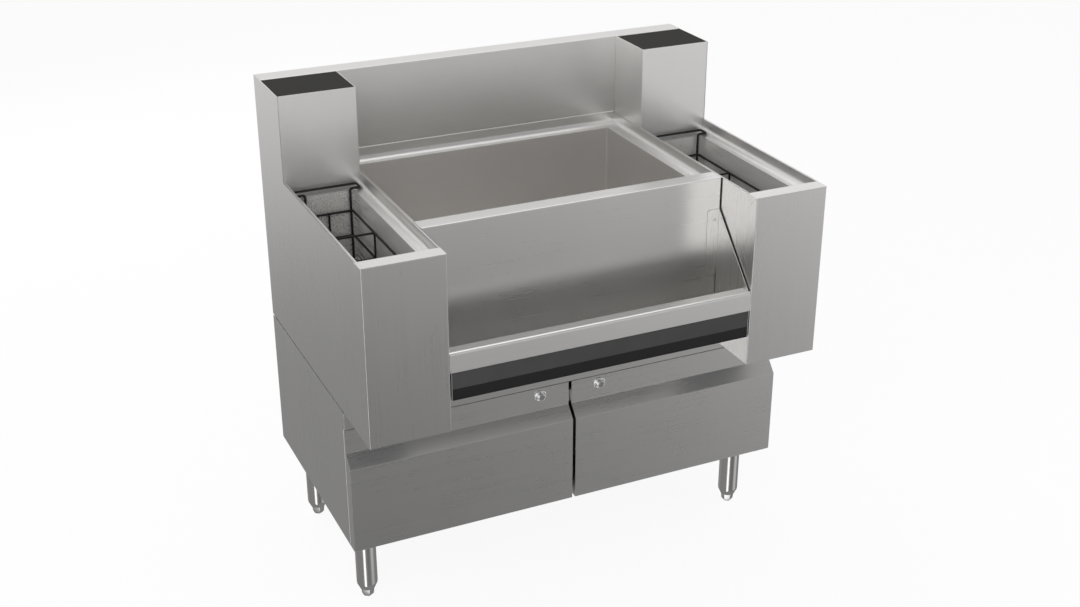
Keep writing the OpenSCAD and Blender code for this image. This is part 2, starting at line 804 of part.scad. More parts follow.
// Tub of the ice bin with the drain's hole in its floor
module bin_liner() {
    fit = 0.3;
    color(steel_dark) difference() {
        tub([-bin_open_x, bin_open_y0, bin_floor_z], [bin_open_x, bin_open_y1, deck_z - sheet], tub_r);
        translate([0, drain_y, bin_floor_z - sheet - cut]) cylinder(r = bowl_r + fit, h = sheet + 2 * cut);
    }
}

// Section of the bin deck tray across (side to side) and along (front to back)
module bin_tray(t, top, front) {
    intersection() {
        along_y(front, splash_y + t)
            cove_profile([-bin_tray_x - t, deck_z - t], [bin_tray_x + t, top], cove_r + t);
        along_x(-bin_tray_x - t, bin_tray_x + t)
            cove_profile([front - 4 * cove_r, deck_z - t], [splash_y + t, top], cove_r + t);
    }
}

// Recessed bin deck with coved raised edges at both sides and at the back
module bin_deck() {
    color(steel) difference() {
        bin_tray(sheet, splash_seam_z, bin_band_y + seam);
        bin_tray(0, splash_seam_z + cut, bin_band_y + seam - cut);
        box([-wing_x, bin_band_y, work_h], [wing_x, splash_y, splash_seam_z + cut]);
        rounded_prism([-bin_open_x, bin_open_y0, deck_z - sheet - cut],
                      [bin_open_x, bin_open_y1, deck_z + cut], tub_r);
    }
}

// Bin front: face with returned ends, flat top band and riser down to the deck
module front_panel() {
    band_x = wing_x - 0.2;
    return_w = 12;
    fold_z = work_h - bend_r;
    color(steel) {
        difference() {
            box([-band_x, bin_y, fold_z], [band_x, bin_band_y, work_h]);
            box([-band_x - cut, bin_y + sheet, fold_z - cut],
                [band_x + cut, bin_band_y - sheet, work_h - sheet]);
            both_sides()
                box([panel_x, bin_y - cut, fold_z - cut], [wing_x, bin_band_y + cut, work_h - sheet]);
            rounded_nose(-band_x, band_x, bin_y);
        }
        box([-panel_x, bin_y, body_bottom_z], [panel_x, bin_y + sheet, fold_z]);
        box([-panel_x, bin_band_y - sheet, deck_z - sheet], [panel_x, bin_band_y, fold_z]);
        both_sides()
            box([panel_x - sheet, bin_y + sheet, deck_z + seam], [panel_x, bin_y + return_w, fold_z]);
    }
}

// Drain flange with its bowl and threaded spigot
module drain_body() {
    bowl_z = bin_floor_z - 20;
    bore_r = pipe_r - pipe_wall;
    color(steel) translate([0, drain_y, 0]) rotate_extrude() polygon([
        [bowl_r, bin_floor_z], [flange_r, bin_floor_z], [flange_r - flange_t, bin_floor_z + flange_t],
        [bowl_r - bowl_wall, bin_floor_z + flange_t], [bowl_r - bowl_wall, bowl_z], [bore_r, bowl_z - 3],
        [bore_r, spigot_end_z], [pipe_r, spigot_end_z], [pipe_r, bowl_z - 5], [bowl_r, bowl_z - bowl_wall]
    ]);
}

// Perforated disc that rests in the drain bowl
module drain_strainer() {
    disc_r = bowl_r - bowl_wall - seam;
    disc_t = 1.5;
    rings = 3;
    pitch = 6;
    hole_r = 1.6;
    color(steel_dark) translate([0, drain_y, bin_floor_z - disc_t]) difference() {
        cylinder(r = disc_r, h = disc_t);
        translate([0, 0, -cut]) cylinder(r = hole_r, h = disc_t + 2 * cut);
        for (k = [1 : rings], n = [0 : 6 * k - 1])
            rotate(n * 60 / k) translate([k * pitch, 0, -cut]) cylinder(r = hole_r, h = disc_t + 2 * cut);
    }
}

// Waste pipe from the spigot down through the cabinet to the outlet
module drain_pipe() {
    sleeve = 18;
    sleeve_r = pipe_r + 4;
    bore_r = pipe_r - pipe_wall;
    spigot_r = pipe_r + run_gap;
    shoulder_z = outlet_z + outlet_len;
    color(steel_dark) translate([0, drain_y, 0]) rotate_extrude() polygon([
        [bore_r, outlet_z], [outlet_r, outlet_z], [outlet_r, shoulder_z], [pipe_r, shoulder_z],
        [pipe_r, spigot_end_z - sleeve], [sleeve_r, spigot_end_z - sleeve],
        [sleeve_r, spigot_end_z + sleeve], [spigot_r, spigot_end_z + sleeve],
        [spigot_r, spigot_end_z - seam], [bore_r, spigot_end_z - seam]
    ]);
}

// ---------------------------------------------------------------- speed rail

// Bottle trough: low back wall, bottom, and front wall up under the lip
module rail_trough() {
    bend = 4;
    back_top = trough_z + trough_back_h;
    wall_top = lip_top_z - sheet - seam;
    color(steel) along_x(-rail_in_x, rail_in_x) difference() {
        union() {
            cove_profile([rail_wall_y, trough_z], [rail_back_y, back_top], bend + sheet);
            translate([rail_wall_y, back_top - cut]) square([sheet, wall_top - back_top + cut]);
        }
        cove_profile([rail_wall_y + sheet, trough_z + sheet], [rail_back_y - sheet, wall_top], bend);
    }
}

// Section of the rolled lip: face, nose, flat top and a short back leg
module lip_profile() {
    lip_back_y = rail_front_y + lip_w;
    difference() {
        mirror([0, 1]) cove_profile([rail_front_y, -lip_top_z], [lip_back_y, -lip_bottom_z], lip_r);
        mirror([0, 1]) cove_profile([rail_front_y + sheet, -lip_top_z + sheet],
                                    [lip_back_y - sheet, -lip_bottom_z + cut], lip_r - sheet);
        translate([rail_front_y + lip_r, lip_bottom_z - cut])
            square([lip_w, lip_face_h - lip_back_drop + cut]);
    }
}

// Rolled lip: face and nose reach the wings, the flat top ends between the gussets
module rail_lip() {
    color(steel) difference() {
        along_x(-lip_end_x, lip_end_x) lip_profile();
        both_sides()
            box([rail_in_x, rail_front_y + lip_r, lip_bottom_z - cut],
                [lip_end_x + cut, rail_front_y + lip_w + cut, lip_top_z + cut]);
    }
}

// End plate of the rail with its folded tab on the bin front
module rail_gusset() {
    tab_r = 5;
    tab_x = gusset_x - tab_w;
    tab_h = gusset_top_z - lip_top_z;
    tab_y = rail_back_y - gusset_t;
    lap = 0.01;
    screw_r = 2.1;
    screw_x = tab_x + tab_w * 0.6;
    screw_z = gusset_top_z - 20;
    foot_z = lower_bottom_z;
    nose_y = rail_front_y + lip_r + seam;
    nose_z = lip_top_z - lip_r;
    face_y = rail_front_y + sheet + seam;
    face_z = lip_bottom_z - seam;
    color(steel) {
        along_x(gusset_x - gusset_t, gusset_x) polygon([
            [rail_back_y, gusset_top_z], [nose_y, lip_top_z], [nose_y, nose_z], [face_y, nose_z],
            [face_y, face_z], [rail_front_y, face_z], [rail_front_y, foot_z], [rail_back_y, foot_z]
        ]);
        difference() {
            along_y(tab_y, rail_back_y) {
                translate([tab_x, lip_top_z]) square([tab_w - gusset_t + lap, tab_h - tab_r]);
                translate([tab_x + tab_r, lip_top_z]) square([tab_w - tab_r - gusset_t + lap, tab_h]);
                translate([tab_x + tab_r, gusset_top_z - tab_r]) circle(tab_r);
            }
            translate([screw_x, tab_y - cut, screw_z])
                rotate([-90, 0, 0]) cylinder(r = screw_r, h = gusset_t + 2 * cut);
        }
    }
}

// Dark strip under the lip
module bumper_strip() {
    color(bumper_grey)
        box([-rail_in_x, rail_wall_y - bumper_t, strips_top_z - bumper_h],
            [rail_in_x, rail_wall_y, strips_top_z]);
}

// Black angle under the bumper, turned back below the trough
module lower_strip() {
    leg = 22;
    color(black) along_x(-rail_in_x, rail_in_x) translate([rail_wall_y - lower_strip_t, lower_bottom_z]) {
        square([lower_strip_t, lower_strip_h]);
        square([leg, lower_strip_t]);
    }
}

// ---------------------------------------------------------------- bottle racks

hang_r = wire_d / 2;
ring_wire_r = ring_wire_d / 2;
cross_r = cross_wire_d / 2;
rack_half = (well_hi.x - well_lo.x) / 2 - rack_side_gap;
rack_y1 = well_hi.y - rack_back_gap;
rack_y0 = well_lo.y + rack_front_gap;
rack_z0 = well_floor_z + ring_wire_r + seam;
rack_z1 = well_floor_z + rack_mid_h;
rack_z2 = well_floor_z + rack_top_h;
hanger_z = deck_z + hanger_rise;
hanger_y = tower_y - hanger_tower_gap;
cell_pitch = (rack_y1 - rack_y0) / rack_cells;

// Straight wire of radius r between two points that lie along one axis
module wire(a, b, r) {
    d = b - a;
    turn = d.x != 0 ? [0, 90, 0] : d.y != 0 ? [-90, 0, 0] : [0, 0, 0];
    translate(a) rotate(turn) cylinder(r = r, h = norm(d), $fn = 24);
}

// Bent wire of radius r: an arc of radius bend that starts along +X of its own frame
module wire_arc(bend, angle, r) {
    rotate_extrude(angle = angle, $fn = 32) translate([bend, 0]) circle(r, $fn = 24);
}

// Closed ring with rounded corners at height z
module wire_ring(z) {
    x = rack_half - ring_r;
    y0 = rack_y0 + ring_r;
    y1 = rack_y1 - ring_r;
    for (s = [-1, 1]) wire([s * rack_half, y0, z], [s * rack_half, y1, z], ring_wire_r);
    for (y = [rack_y0, rack_y1]) wire([-x, y, z], [x, y, z], ring_wire_r);
    for (k = [0 : 3])
        translate([(k == 0 || k == 3) ? x : -x, k < 2 ? y1 : y0, z])
            rotate(90 * k) wire_arc(ring_r, 90, ring_wire_r);
}

// Hanger: rod along the tower foot, hairpin ends and drop wires into the well
module rack_hanger() {
    pin_bend = (hanger_y - rack_y1) / 2;
    end_x = rack_half + hanger_reach - pin_bend;
    drop_bend = wire_d;
    drop_x = rack_half - drop_in;
    wire([-end_x, hanger_y, hanger_z], [end_x, hanger_y, hanger_z], hang_r);
    both_sides() {
        translate([end_x, rack_y1 + pin_bend, hanger_z]) rotate(-90) wire_arc(pin_bend, 180, hang_r);
        wire([drop_x + drop_bend, rack_y1, hanger_z], [end_x, rack_y1, hanger_z], hang_r);
        translate([drop_x + drop_bend, rack_y1, hanger_z - drop_bend])
            rotate([90, 0, 0]) rotate(90) wire_arc(drop_bend, 90, hang_r);
        wire([drop_x, rack_y1, rack_z0], [drop_x, rack_y1, hanger_z - drop_bend], hang_r);
    }
}

// Welded wire rack: three rings, cell dividers, uprights and floor wires
module bottle_rack(mid_x) {
    color(black) translate([mid_x, 0, 0]) {
        for (z = [rack_z0, rack_z1, rack_z2]) wire_ring(z);
        rack_hanger();
        for (k = [1 : rack_cells - 1]) {
            y = rack_y0 + k * cell_pitch;
            for (z = [rack_z1, rack_z2]) wire([-rack_half, y, z], [rack_half, y, z], cross_r);
            both_sides() wire([rack_half, y, rack_z0], [rack_half, y, rack_z2], cross_r);
        }
        for (y = [rack_y0, rack_y1]) wire([0, y, rack_z0], [0, y, rack_z2], cross_r);
        for (k = [1 : 2 * rack_cells - 1]) {
            y = rack_y0 + k * cell_pitch / 2;
            wire([-rack_half, y, rack_z0], [rack_half, y, rack_z0], cross_r);
        }
        wire([0, rack_y0, rack_z0], [0, rack_y1, rack_z0], ring_wire_r - 0.1);
    }
}

mirror_x() cabinet_side();  // cabinet_side_left
cabinet_side();  // cabinet_side_right
cabinet_back();
cabinet_floor();
cabinet_top();
service_panel();
top_rail();
lock_keeper();
joint_gasket();
leg_sockets();
leg_tubes();
hinge_brackets();
body_floor();
mirror_x() side_wrap();  // side_wrap_left
side_wrap();  // side_wrap_right
backsplash();
mirror_x() wing_deck();  // wing_deck_left
wing_deck();  // wing_deck_right
mirror_x() well_liner();  // well_liner_left
well_liner();  // well_liner_right
mirror_x() tower();  // tower_left
tower();  // tower_right
mirror_x() tower_cap();  // tower_cap_left
tower_cap();  // tower_cap_right
foam_core();
bin_liner();
bin_deck();
front_panel();
drain_body();
drain_strainer();
drain_pipe();
rail_trough();
rail_lip();
mirror_x() rail_gusset();  // rail_gusset_left
rail_gusset();  // rail_gusset_right
bumper_strip();
lower_strip();
mirror_x() door_skin();  // door_skin_left
door_skin();  // door_skin_right
mirror_x() door_liner();  // door_liner_left
door_liner();  // door_liner_right
mirror_x() hinge_bushes();  // hinge_bushes_left
hinge_bushes();  // hinge_bushes_right
mirror_x() lock_body();  // lock_body_left
lock_body();  // lock_body_right
mirror_x() lock_plug();  // lock_plug_left
lock_plug();  // lock_plug_right
bottle_rack(-well_mid_x);  // bottle_rack_left
bottle_rack(well_mid_x);  // bottle_rack_right
foot(-leg_x, leg_ys[0]);  // foot_front_left
foot(leg_x, leg_ys[0]);  // foot_front_right
foot(-leg_x, leg_ys[1]);  // foot_back_left
foot(leg_x, leg_ys[1]);  // foot_back_right
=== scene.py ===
"""Looks of an underbar cocktail station in stainless steel, with one operator per group of pieces."""

import math

import bmesh
import bpy
from bmesh import ops
from bpy.props import FloatProperty, FloatVectorProperty, IntProperty, PointerProperty
from mathutils import Matrix, Vector


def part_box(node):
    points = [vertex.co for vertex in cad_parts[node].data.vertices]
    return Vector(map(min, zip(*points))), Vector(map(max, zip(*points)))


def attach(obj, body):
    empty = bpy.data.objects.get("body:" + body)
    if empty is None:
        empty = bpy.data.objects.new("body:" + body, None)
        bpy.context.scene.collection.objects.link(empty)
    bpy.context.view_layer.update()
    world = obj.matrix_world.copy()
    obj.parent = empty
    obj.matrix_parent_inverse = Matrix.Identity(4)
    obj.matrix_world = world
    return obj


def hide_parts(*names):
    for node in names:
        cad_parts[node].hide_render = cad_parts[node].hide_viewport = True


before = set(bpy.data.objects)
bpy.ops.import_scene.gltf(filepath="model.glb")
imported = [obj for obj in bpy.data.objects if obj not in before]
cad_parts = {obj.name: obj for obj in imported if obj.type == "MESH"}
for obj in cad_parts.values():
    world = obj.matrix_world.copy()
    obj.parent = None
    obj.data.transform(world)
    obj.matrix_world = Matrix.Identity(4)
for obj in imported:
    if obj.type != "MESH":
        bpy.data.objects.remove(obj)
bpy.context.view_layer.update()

bl_info = {
    "name": "Underbar Cocktail Station",
    "version": (1, 0, 0),
    "blender": (4, 5, 0),
    "location": "View3D > Sidebar > Bar Station",
    "description": "Stainless underbar station with an ice bin, bottle wells, a speed rail and a cabinet",
    "category": "Object",
}

MM = 0.001
SAME = 1e-6  # metres within which two places are one
STRAIGHT = 0.99  # cosine above which a face looks straight along a direction
SIDES = ("left", "right")


# ---------------------------------- sizes read from the frame

def box(node):
    """Lowest and highest corner of a CAD node."""
    return tuple(Vector(corner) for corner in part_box(node))


def middle(node):
    lo, hi = box(node)
    return (lo + hi) / 2


WRAP_LOW, WRAP_HIGH = box("side_wrap_right")
TRAY_LOW, TRAY_HIGH = box("wing_deck_right")
WELL_LOW, WELL_HIGH = box("well_liner_right")
DECK_LOW, DECK_HIGH = box("bin_deck")
BIN_LOW, BIN_HIGH = box("bin_liner")
FRONT_LOW, FRONT_HIGH = box("front_panel")
SPLASH_LOW, SPLASH_HIGH = box("backsplash")
TOWER_LOW, TOWER_HIGH = box("tower_right")
DOOR_LOW, DOOR_HIGH = box("door_skin_right")
RAIL_LOW, RAIL_HIGH = box("top_rail")
CAB_LOW, CAB_HIGH = box("cabinet_side_right")
TROUGH_LOW, TROUGH_HIGH = box("rail_trough")
LIP_LOW, LIP_HIGH = box("rail_lip")
GUSSET_LOW, GUSSET_HIGH = box("rail_gusset_right")
RACK_LOW, RACK_HIGH = box("bottle_rack_right")
LOCK_LOW, LOCK_HIGH = box("lock_body_right")
DRAIN_LOW, DRAIN_HIGH = box("drain_body")
WORK_TOP = TRAY_HIGH.z
FINE_EDGE, BROAD_EDGE = 0.2 * MM, 0.6 * MM  # rounds on edges that catch less or more light than most


# ---------------------------------- settings

def number(name, description, default, **more):
    return FloatProperty(name=name, description=description, default=default, **more)


def length(name, description, default):
    return number(name, description, default, unit="LENGTH", subtype="DISTANCE")


def colour(name, description, default):
    return FloatVectorProperty(name=name, description=description, default=default, subtype="COLOR", size=3)


def share(name, description, default):
    return number(name, description, default, subtype="FACTOR")


class SheetSettings(bpy.types.PropertyGroup):
    thickness: length("Sheet", "Thickness of the stainless sheet", 1.5 * MM)
    door: length("Door sheet", "Thickness of the door's sheet", 1.2 * MM)
    bend: length("Bend radius", "Outside radius of a folded corner", 1.8 * MM)
    edge: length("Edge softening", "Width of the light-catching round on a cut edge", 0.35 * MM)
    cove: length("Cove radius", "Round between a deck and its raised edge", 14 * MM)
    tub_corner: length("Tub corner", "Corner radius inside the bin and the wells", 3 * MM)
    band_bin: length("Bin band", "Depth of the flat band along the bin front", 36 * MM)
    band_wing: length("Wing band", "Depth of the flat band along a wing front", 32 * MM)
    nose: length("Lip nose", "Nose radius of the speed rail's lip", 5 * MM)
    gap: length("Seam", "Gap between sheets that lie side by side", 0.3 * MM)


class RackSettings(bpy.types.PropertyGroup):
    hanger_wire: length("Hanger wire", "Diameter of the hanger's wire", 4.8 * MM)
    ring_wire: length("Ring wire", "Diameter of the rings' wire", 4.6 * MM)
    cross_wire: length("Cross wire", "Diameter of the dividers and uprights", 4.2 * MM)
    middle: length("Middle ring", "Height of the middle ring above the well floor", 54 * MM)
    top: length("Top ring", "Height of the top ring above the well floor", 105 * MM)
    corner: length("Ring corner", "Corner radius of the rings", 6 * MM)
    reach: length("Hanger reach", "Reach of the hairpins past the rings", 17 * MM)
    drop_in: length("Drop wires", "Distance of the drop wires inside the rings' sides", 3 * MM)
    cells: IntProperty(name="Bottle spaces", description="Spaces in one rack", default=3, min=1)


class FinishSettings(bpy.types.PropertyGroup):
    steel: colour("Steel", "Satin stainless sheet", (0.78, 0.771, 0.759))
    steel_inner: colour("Inner steel", "Dull stainless of the tubs", (0.78, 0.763, 0.745))
    zinc: colour("Zinc", "Galvanised inner plates", (0.56, 0.57, 0.58))
    chrome: colour("Chrome", "Polished locks", (0.82, 0.82, 0.82))
    black: colour("Black wire", "Coated rack wire and foam tape", (0.012, 0.012, 0.012))
    # the cap tone is near black for the shade inside the open tower tops: painted shade
    cap: colour("Cap", "Moulded lining of a tower", (0.024, 0.023, 0.022))
    charcoal: colour("Charcoal", "Bumper strip and drain pipe", (0.034, 0.035, 0.034))
    strip: colour("Black strip", "Coated angle under the bumper", (0.0075, 0.0075, 0.0075))
    bronze: colour("Bronze", "Hinge bushes", (0.35, 0.22, 0.10))
    foam: colour("Foam", "Insulation", (0.68, 0.60, 0.40))
    roughness: share("Satin", "Roughness of the satin steel", 0.28)


class StageSettings(bpy.types.PropertyGroup):
    camera: FloatVectorProperty(name="Camera", description="Place of the camera", size=3, subtype="TRANSLATION",
                                unit="LENGTH", default=(-1.1342, -2.4622, 1.7745))
    yaw: number("Yaw", "Turn of the view towards +X", 0.4345, subtype="ANGLE")
    pitch: number("Pitch", "Tilt of the view above the horizon", -0.4363, subtype="ANGLE")
    focal: number("Focal length", "Lens for a 36 mm sensor", 49.97)
    floor_white: share("Floor white", "How far the floor's shadow fades for the camera", 0.9)
    floor_near: share("Floor tone", "Tone that steel mirrors from the floor around it", 0.195)
    sky: number("Room tone", "Tone that steel mirrors from the room above", 0.88)
    ambient: number("Ambient", "Level of the light that falls on matt surfaces", 0.8)

    def heights(self):
        """Tones by the sine of the height above the horizon, from straight down to straight up."""
        near, rise = self.floor_near, self.sky - self.floor_near
        return ((-1.0, near), (-0.44, near), (-0.4, near * 1.2), (-0.34, near + rise * 0.38),
                (-0.28, near + rise * 0.66), (-0.2, near + rise * 0.87), (-0.05, self.sky), (1.0, self.sky))

    def panels(self):
        """Soft reflectors: azimuth, half width, height, half height, softness in degrees, level added."""
        return (
            (-34, 11, -12, 46, 6, 1.0), (54, 17, -21, 16, 14, 0.28), (160, 70, 60, 14, 8, 0.7),
            (30, 50, 76, 10, 10, 0.8), (30, 75, 30, 24, 20, -0.55), (-160, 22, -28, 12, 12, 0.05),
            (8, 14, -27, 10, 12, -0.07),
        )


class StationSettings(bpy.types.PropertyGroup):
    sheet: PointerProperty(type=SheetSettings)
    rack: PointerProperty(type=RackSettings)
    finish: PointerProperty(type=FinishSettings)
    stage: PointerProperty(type=StageSettings)


# ---------------------------------- shader expressions

class Value:
    """A shader socket in Python arithmetic: each operation adds one Math node."""

    def __init__(self, finish, socket):
        self.finish, self.socket = finish, socket

    def __add__(self, other):
        return self.finish.math("ADD", self, other)

    __radd__ = __add__

    def __sub__(self, other):
        return self.finish.math("SUBTRACT", self, other)

    def __rsub__(self, other):
        return self.finish.math("SUBTRACT", other, self)

    def __mul__(self, other):
        return self.finish.math("MULTIPLY", self, other)

    __rmul__ = __mul__


class Finish:
    """The node tree of a material or a world, written as expressions."""

    def __init__(self, owner):
        self.owner = owner
        owner.use_nodes = True
        self.tree = owner.node_tree
        self.tree.nodes.clear()

    def node(self, kind, settings=None, inputs=None, output=0):
        made = self.tree.nodes.new(kind)
        for key, value in (settings or {}).items():
            if key == "stops":
                ramp = made.color_ramp.elements
                while len(ramp) < len(value):
                    ramp.new(0.5)
                for stop, (position, level) in zip(ramp, value):
                    stop.position = position
                    stop.color = (level, level, level, 1)
            else:
                setattr(made, key, value)
        for key, value in (inputs or {}).items():
            if isinstance(value, Value):
                self.tree.links.new(value.socket, made.inputs[key])
            elif isinstance(value, (float, int)) or len(made.inputs[key].default_value) == len(value):
                made.inputs[key].default_value = value
            else:
                made.inputs[key].default_value = (*value, 1)
        return Value(self, made.outputs[output]) if len(made.outputs) else made

    def math(self, operation, *inputs):
        return self.node("ShaderNodeMath", {"operation": operation}, dict(enumerate(inputs)))

    def ray(self, kind):
        return self.node("ShaderNodeLightPath", output=f"Is {kind} Ray")

    def texture(self, kind, scale, output=0, **inputs):
        """A texture on object coordinates; a small scale along an axis draws it out along that axis."""
        spot = self.node("ShaderNodeTexCoord", output="Object")
        place = self.node("ShaderNodeMapping", inputs={"Vector": spot, "Scale": scale})
        return self.node(kind, inputs={"Vector": place, "Scale": 1.0, **inputs}, output=output)

    def noise(self, scale, detail=4.0, rough=0.6):
        scales = scale if isinstance(scale, list) else [scale] * 3
        return self.texture("ShaderNodeTexNoise", scales, Detail=detail, Roughness=rough)

    def mix(self, factor, first, second):
        return self.node("ShaderNodeMix", {"data_type": "RGBA"}, {0: factor, 6: first, 7: second}, output=2)

    def turned(self, azimuth, centre):
        """Degrees of azimuth from centre, within half a turn either way."""
        return self.math("WRAP", azimuth - float(centre), 180.0, -180.0)

    def soft(self, offset, half, edge):
        """One within half of nought, fading to nought across a soft edge."""
        return self.node("ShaderNodeMapRange", {"interpolation_type": "SMOOTHSTEP"},
                         {"Value": self.math("ABSOLUTE", offset), "From Min": half - edge / 2.0,
                          "From Max": half + edge / 2.0, "To Min": 1.0, "To Max": 0.0})

    def bump(self, height, strength, distance):
        return self.node("ShaderNodeBump",
                         inputs={"Height": height, "Strength": strength, "Distance": distance})

    def surface(self, **inputs):
        inputs = {name.replace("_", " "): value for name, value in inputs.items()}
        self.output(self.node("ShaderNodeBsdfPrincipled", inputs=inputs))
        return self.owner

    def output(self, shader):
        self.node("ShaderNodeOutputMaterial" if isinstance(self.owner, bpy.types.Material)
                  else "ShaderNodeOutputWorld", inputs={"Surface": shader})


def tone(base, level):
    return tuple(min(1.0, channel * level) for channel in base)


def material(name):
    return Finish(bpy.data.materials.new(name))


def satin(name, base, roughness, grain, depth=0.01, metal=1.0):
    """Brushed sheet whose fine scratches run along the axis grain, with faint mottling and handling marks."""
    f = material(name)
    fine, broad = [1300.0] * 3, [240.0] * 3
    fine[grain], broad[grain] = 12.0, 2.5
    scratch = f.noise(fine, 2.0)
    streak = f.noise(broad, 3.0)
    mottle = f.noise(5.0)
    shade = f.mix(0.65 * streak + 0.35 * mottle, tone(base, 0.965), tone(base, 1.035))
    rough = roughness - 0.035 + 0.04 * streak + 0.03 * mottle
    return f.surface(Base_Color=shade, Metallic=metal, Roughness=rough, Normal=f.bump(scratch, depth, 0.00005))


def polished(name, base, roughness):
    f = material(name)
    wear = f.noise(240.0)
    return f.surface(Base_Color=f.mix(wear, tone(base, 0.94), base), Metallic=1.0,
                     Roughness=roughness + 0.06 * wear)


def coated(name, base, roughness, pebble, depth, shine=0.3):
    """Moulded or powder-coated surface with a fine pebble."""
    f = material(name)
    grit = f.noise(pebble, 3.0, 0.5)
    cloud = f.noise(14.0)
    return f.surface(Base_Color=f.mix(cloud, tone(base, 0.82), tone(base, 1.2)),
                     Roughness=roughness - 0.05 + 0.1 * cloud, Specular_IOR_Level=shine,
                     Normal=f.bump(grit, depth, 0.0001))


def spangled(name, base):
    """Galvanised plate with its spangle."""
    f = material(name)
    cells = f.texture("ShaderNodeTexVoronoi", [90.0] * 3, output="Color")
    flake = f.node("ShaderNodeSeparateColor", inputs={0: cells})
    return f.surface(Base_Color=f.mix(flake, tone(base, 0.88), tone(base, 1.12)), Metallic=0.6,
                     Roughness=0.42 + 0.16 * flake)


def foamed(name, base):
    f = material(name)
    pores = f.noise(420.0, rough=0.7)
    return f.surface(Base_Color=f.mix(pores, tone(base, 0.75), base), Roughness=0.9,
                     Normal=f.bump(pores, 0.5, 0.0008))


FINISHES = {}


def make_finishes(s):
    x, y, z = 0, 1, 2
    steel, inner, rough = s.steel, s.steel_inner, s.roughness
    FINISHES.update(
        steel_x=satin("satin_along_x", steel, rough, x),
        steel_z=satin("satin_along_z", steel, rough, z),
        upper_x=satin("upper_satin_along_x", steel, rough + 0.06, x, metal=0.92),
        upper_y=satin("upper_satin_along_y", steel, rough + 0.04, y, metal=0.87),
        upper_z=satin("upper_satin_along_z", steel, rough + 0.06, z, metal=0.85),
        # painted shade: the backsplash's copy of the steel is darkened to 0.93 of the sheet's tone
        splash=satin("backsplash_satin_painted_shade", tone(steel, 0.93), rough + 0.06, x, metal=0.92),
        inner_x=satin("tub_steel", inner, rough + 0.1, x, 0.015, 0.9),
        # painted light: the wells' steel is brightened to 1.1 of the inner tone (and made less metallic) so the
        # wells read lit
        inner_y=satin("well_steel_painted_light", tone(inner, 1.1), rough, y, 0.015, 0.62),
        # painted light: the tube steel is brightened to 1.2 of the sheet's tone so legs, feet, drain and beads
        # read lighter
        tube=satin("tube_steel_painted_light", tone(steel, 1.2), 0.16, z),
        chrome=polished("chrome", s.chrome, 0.05),
        bronze=polished("bronze", s.bronze, 0.4),
        zinc=spangled("galvanised", s.zinc),
        # painted shade: a half-tone copy of the galvanised, for the body floor in the shade under the wings
        zinc_dull=spangled("galvanised_painted_shade", tone(s.zinc, 0.5)),
        wire=coated("black_wire", s.black, 0.42, 900.0, 0.15, shine=0.2),
        # painted shade: the tower cap's near-black stands for the shade in the open tower tops
        cap=coated("tower_top_painted_shade", s.cap, 0.72, 1400.0, 0.25, shine=0.12),
        charcoal=coated("charcoal_strip", s.charcoal, 0.5, 1800.0, 0.2),
        strip=coated("black_strip", s.strip, 0.38, 1500.0, 0.12),
        seal=coated("black_foam_tape", s.black, 0.9, 700.0, 0.6),
        foam=foamed("foam", s.foam),
    )


# ---------------------------------- choosing parts of a mesh

def same(one, other):
    return abs(one - other) < SAME


def verts_of(result):
    return [item for item in result["geom"] if isinstance(item, bmesh.types.BMVert)]


def wires(bm):
    return [edge for edge in bm.edges if edge.is_wire]


def folds(bm):
    return [edge for edge in bm.edges if not edge.is_boundary]


def rims(bm, test, longer=0.0):
    """Open edges longer than a length, both of whose ends pass a test of their place."""
    return [edge for edge in bm.edges if edge.is_boundary and all(test(vert.co) for vert in edge.verts)
            and edge.calc_length() > longer]


def faces_looking(bm, direction):
    direction = Vector(direction)
    bm.normal_update()
    return [face for face in bm.faces if face.normal.dot(direction) > STRAIGHT]


def align(bm):
    """Make each joined group of faces look the way its largest face does."""
    bm.normal_update()
    left = set(bm.faces)
    while left:
        group, looked_at = [left.pop()], 0
        while looked_at < len(group):
            for edge in group[looked_at].edges:
                for face in edge.link_faces:
                    if face in left:
                        left.discard(face)
                        group.append(face)
            looked_at += 1
        lead = max(group, key=lambda face: face.calc_area())
        kept = lead.normal.copy()
        ops.recalc_face_normals(bm, faces=group)
        if lead.normal.dot(kept) < 0:
            ops.reverse_faces(bm, faces=group)


def face_towards(bm, direction, before=()):
    """Turn all faces but those made before, so that the largest across direction looks along it."""
    faces = [face for face in bm.faces if face not in before]
    direction = Vector(direction)
    ops.recalc_face_normals(bm, faces=faces)
    lead = max(faces, key=lambda face: face.calc_area() * abs(face.normal.dot(direction)))
    if lead.normal.dot(direction) < 0:
        ops.reverse_faces(bm, faces=faces)


# ---------------------------------- modelling helpers

SECTIONS = {  # places of a section's points, and the way along it
    "x": (lambda y, z: Vector((0, y, z)), Vector((1, 0, 0))),
    "z": (lambda x, y: Vector((x, y, 0)), Vector((0, 0, 1))),
}


def draw_out(bm, edges, way):
    """Extrude edges, move the new ones, and return their points."""
    moved = verts_of(ops.extrude_edge_only(bm, edges=edges))
    ops.translate(bm, vec=way, verts=moved)
    return moved


def round_edges(bm, edges, radius, segments):
    if edges:
        ops.bevel(bm, geom=list(edges), offset=radius, segments=segments, profile=0.5, affect="EDGES",
                  material=-1, clamp_overlap=True)


def round_points(bm, verts, offset, segments):
    ops.bevel(bm, geom=verts, offset=offset, segments=segments, profile=0.5, affect="VERTICES", material=-1)


def setback(vert, radius):
    """Distance from the corner of a line at which its round begins."""
    one, other = [edge.other_vert(vert).co - vert.co for edge in vert.link_edges]
    return radius / math.tan(one.angle(other) / 2)


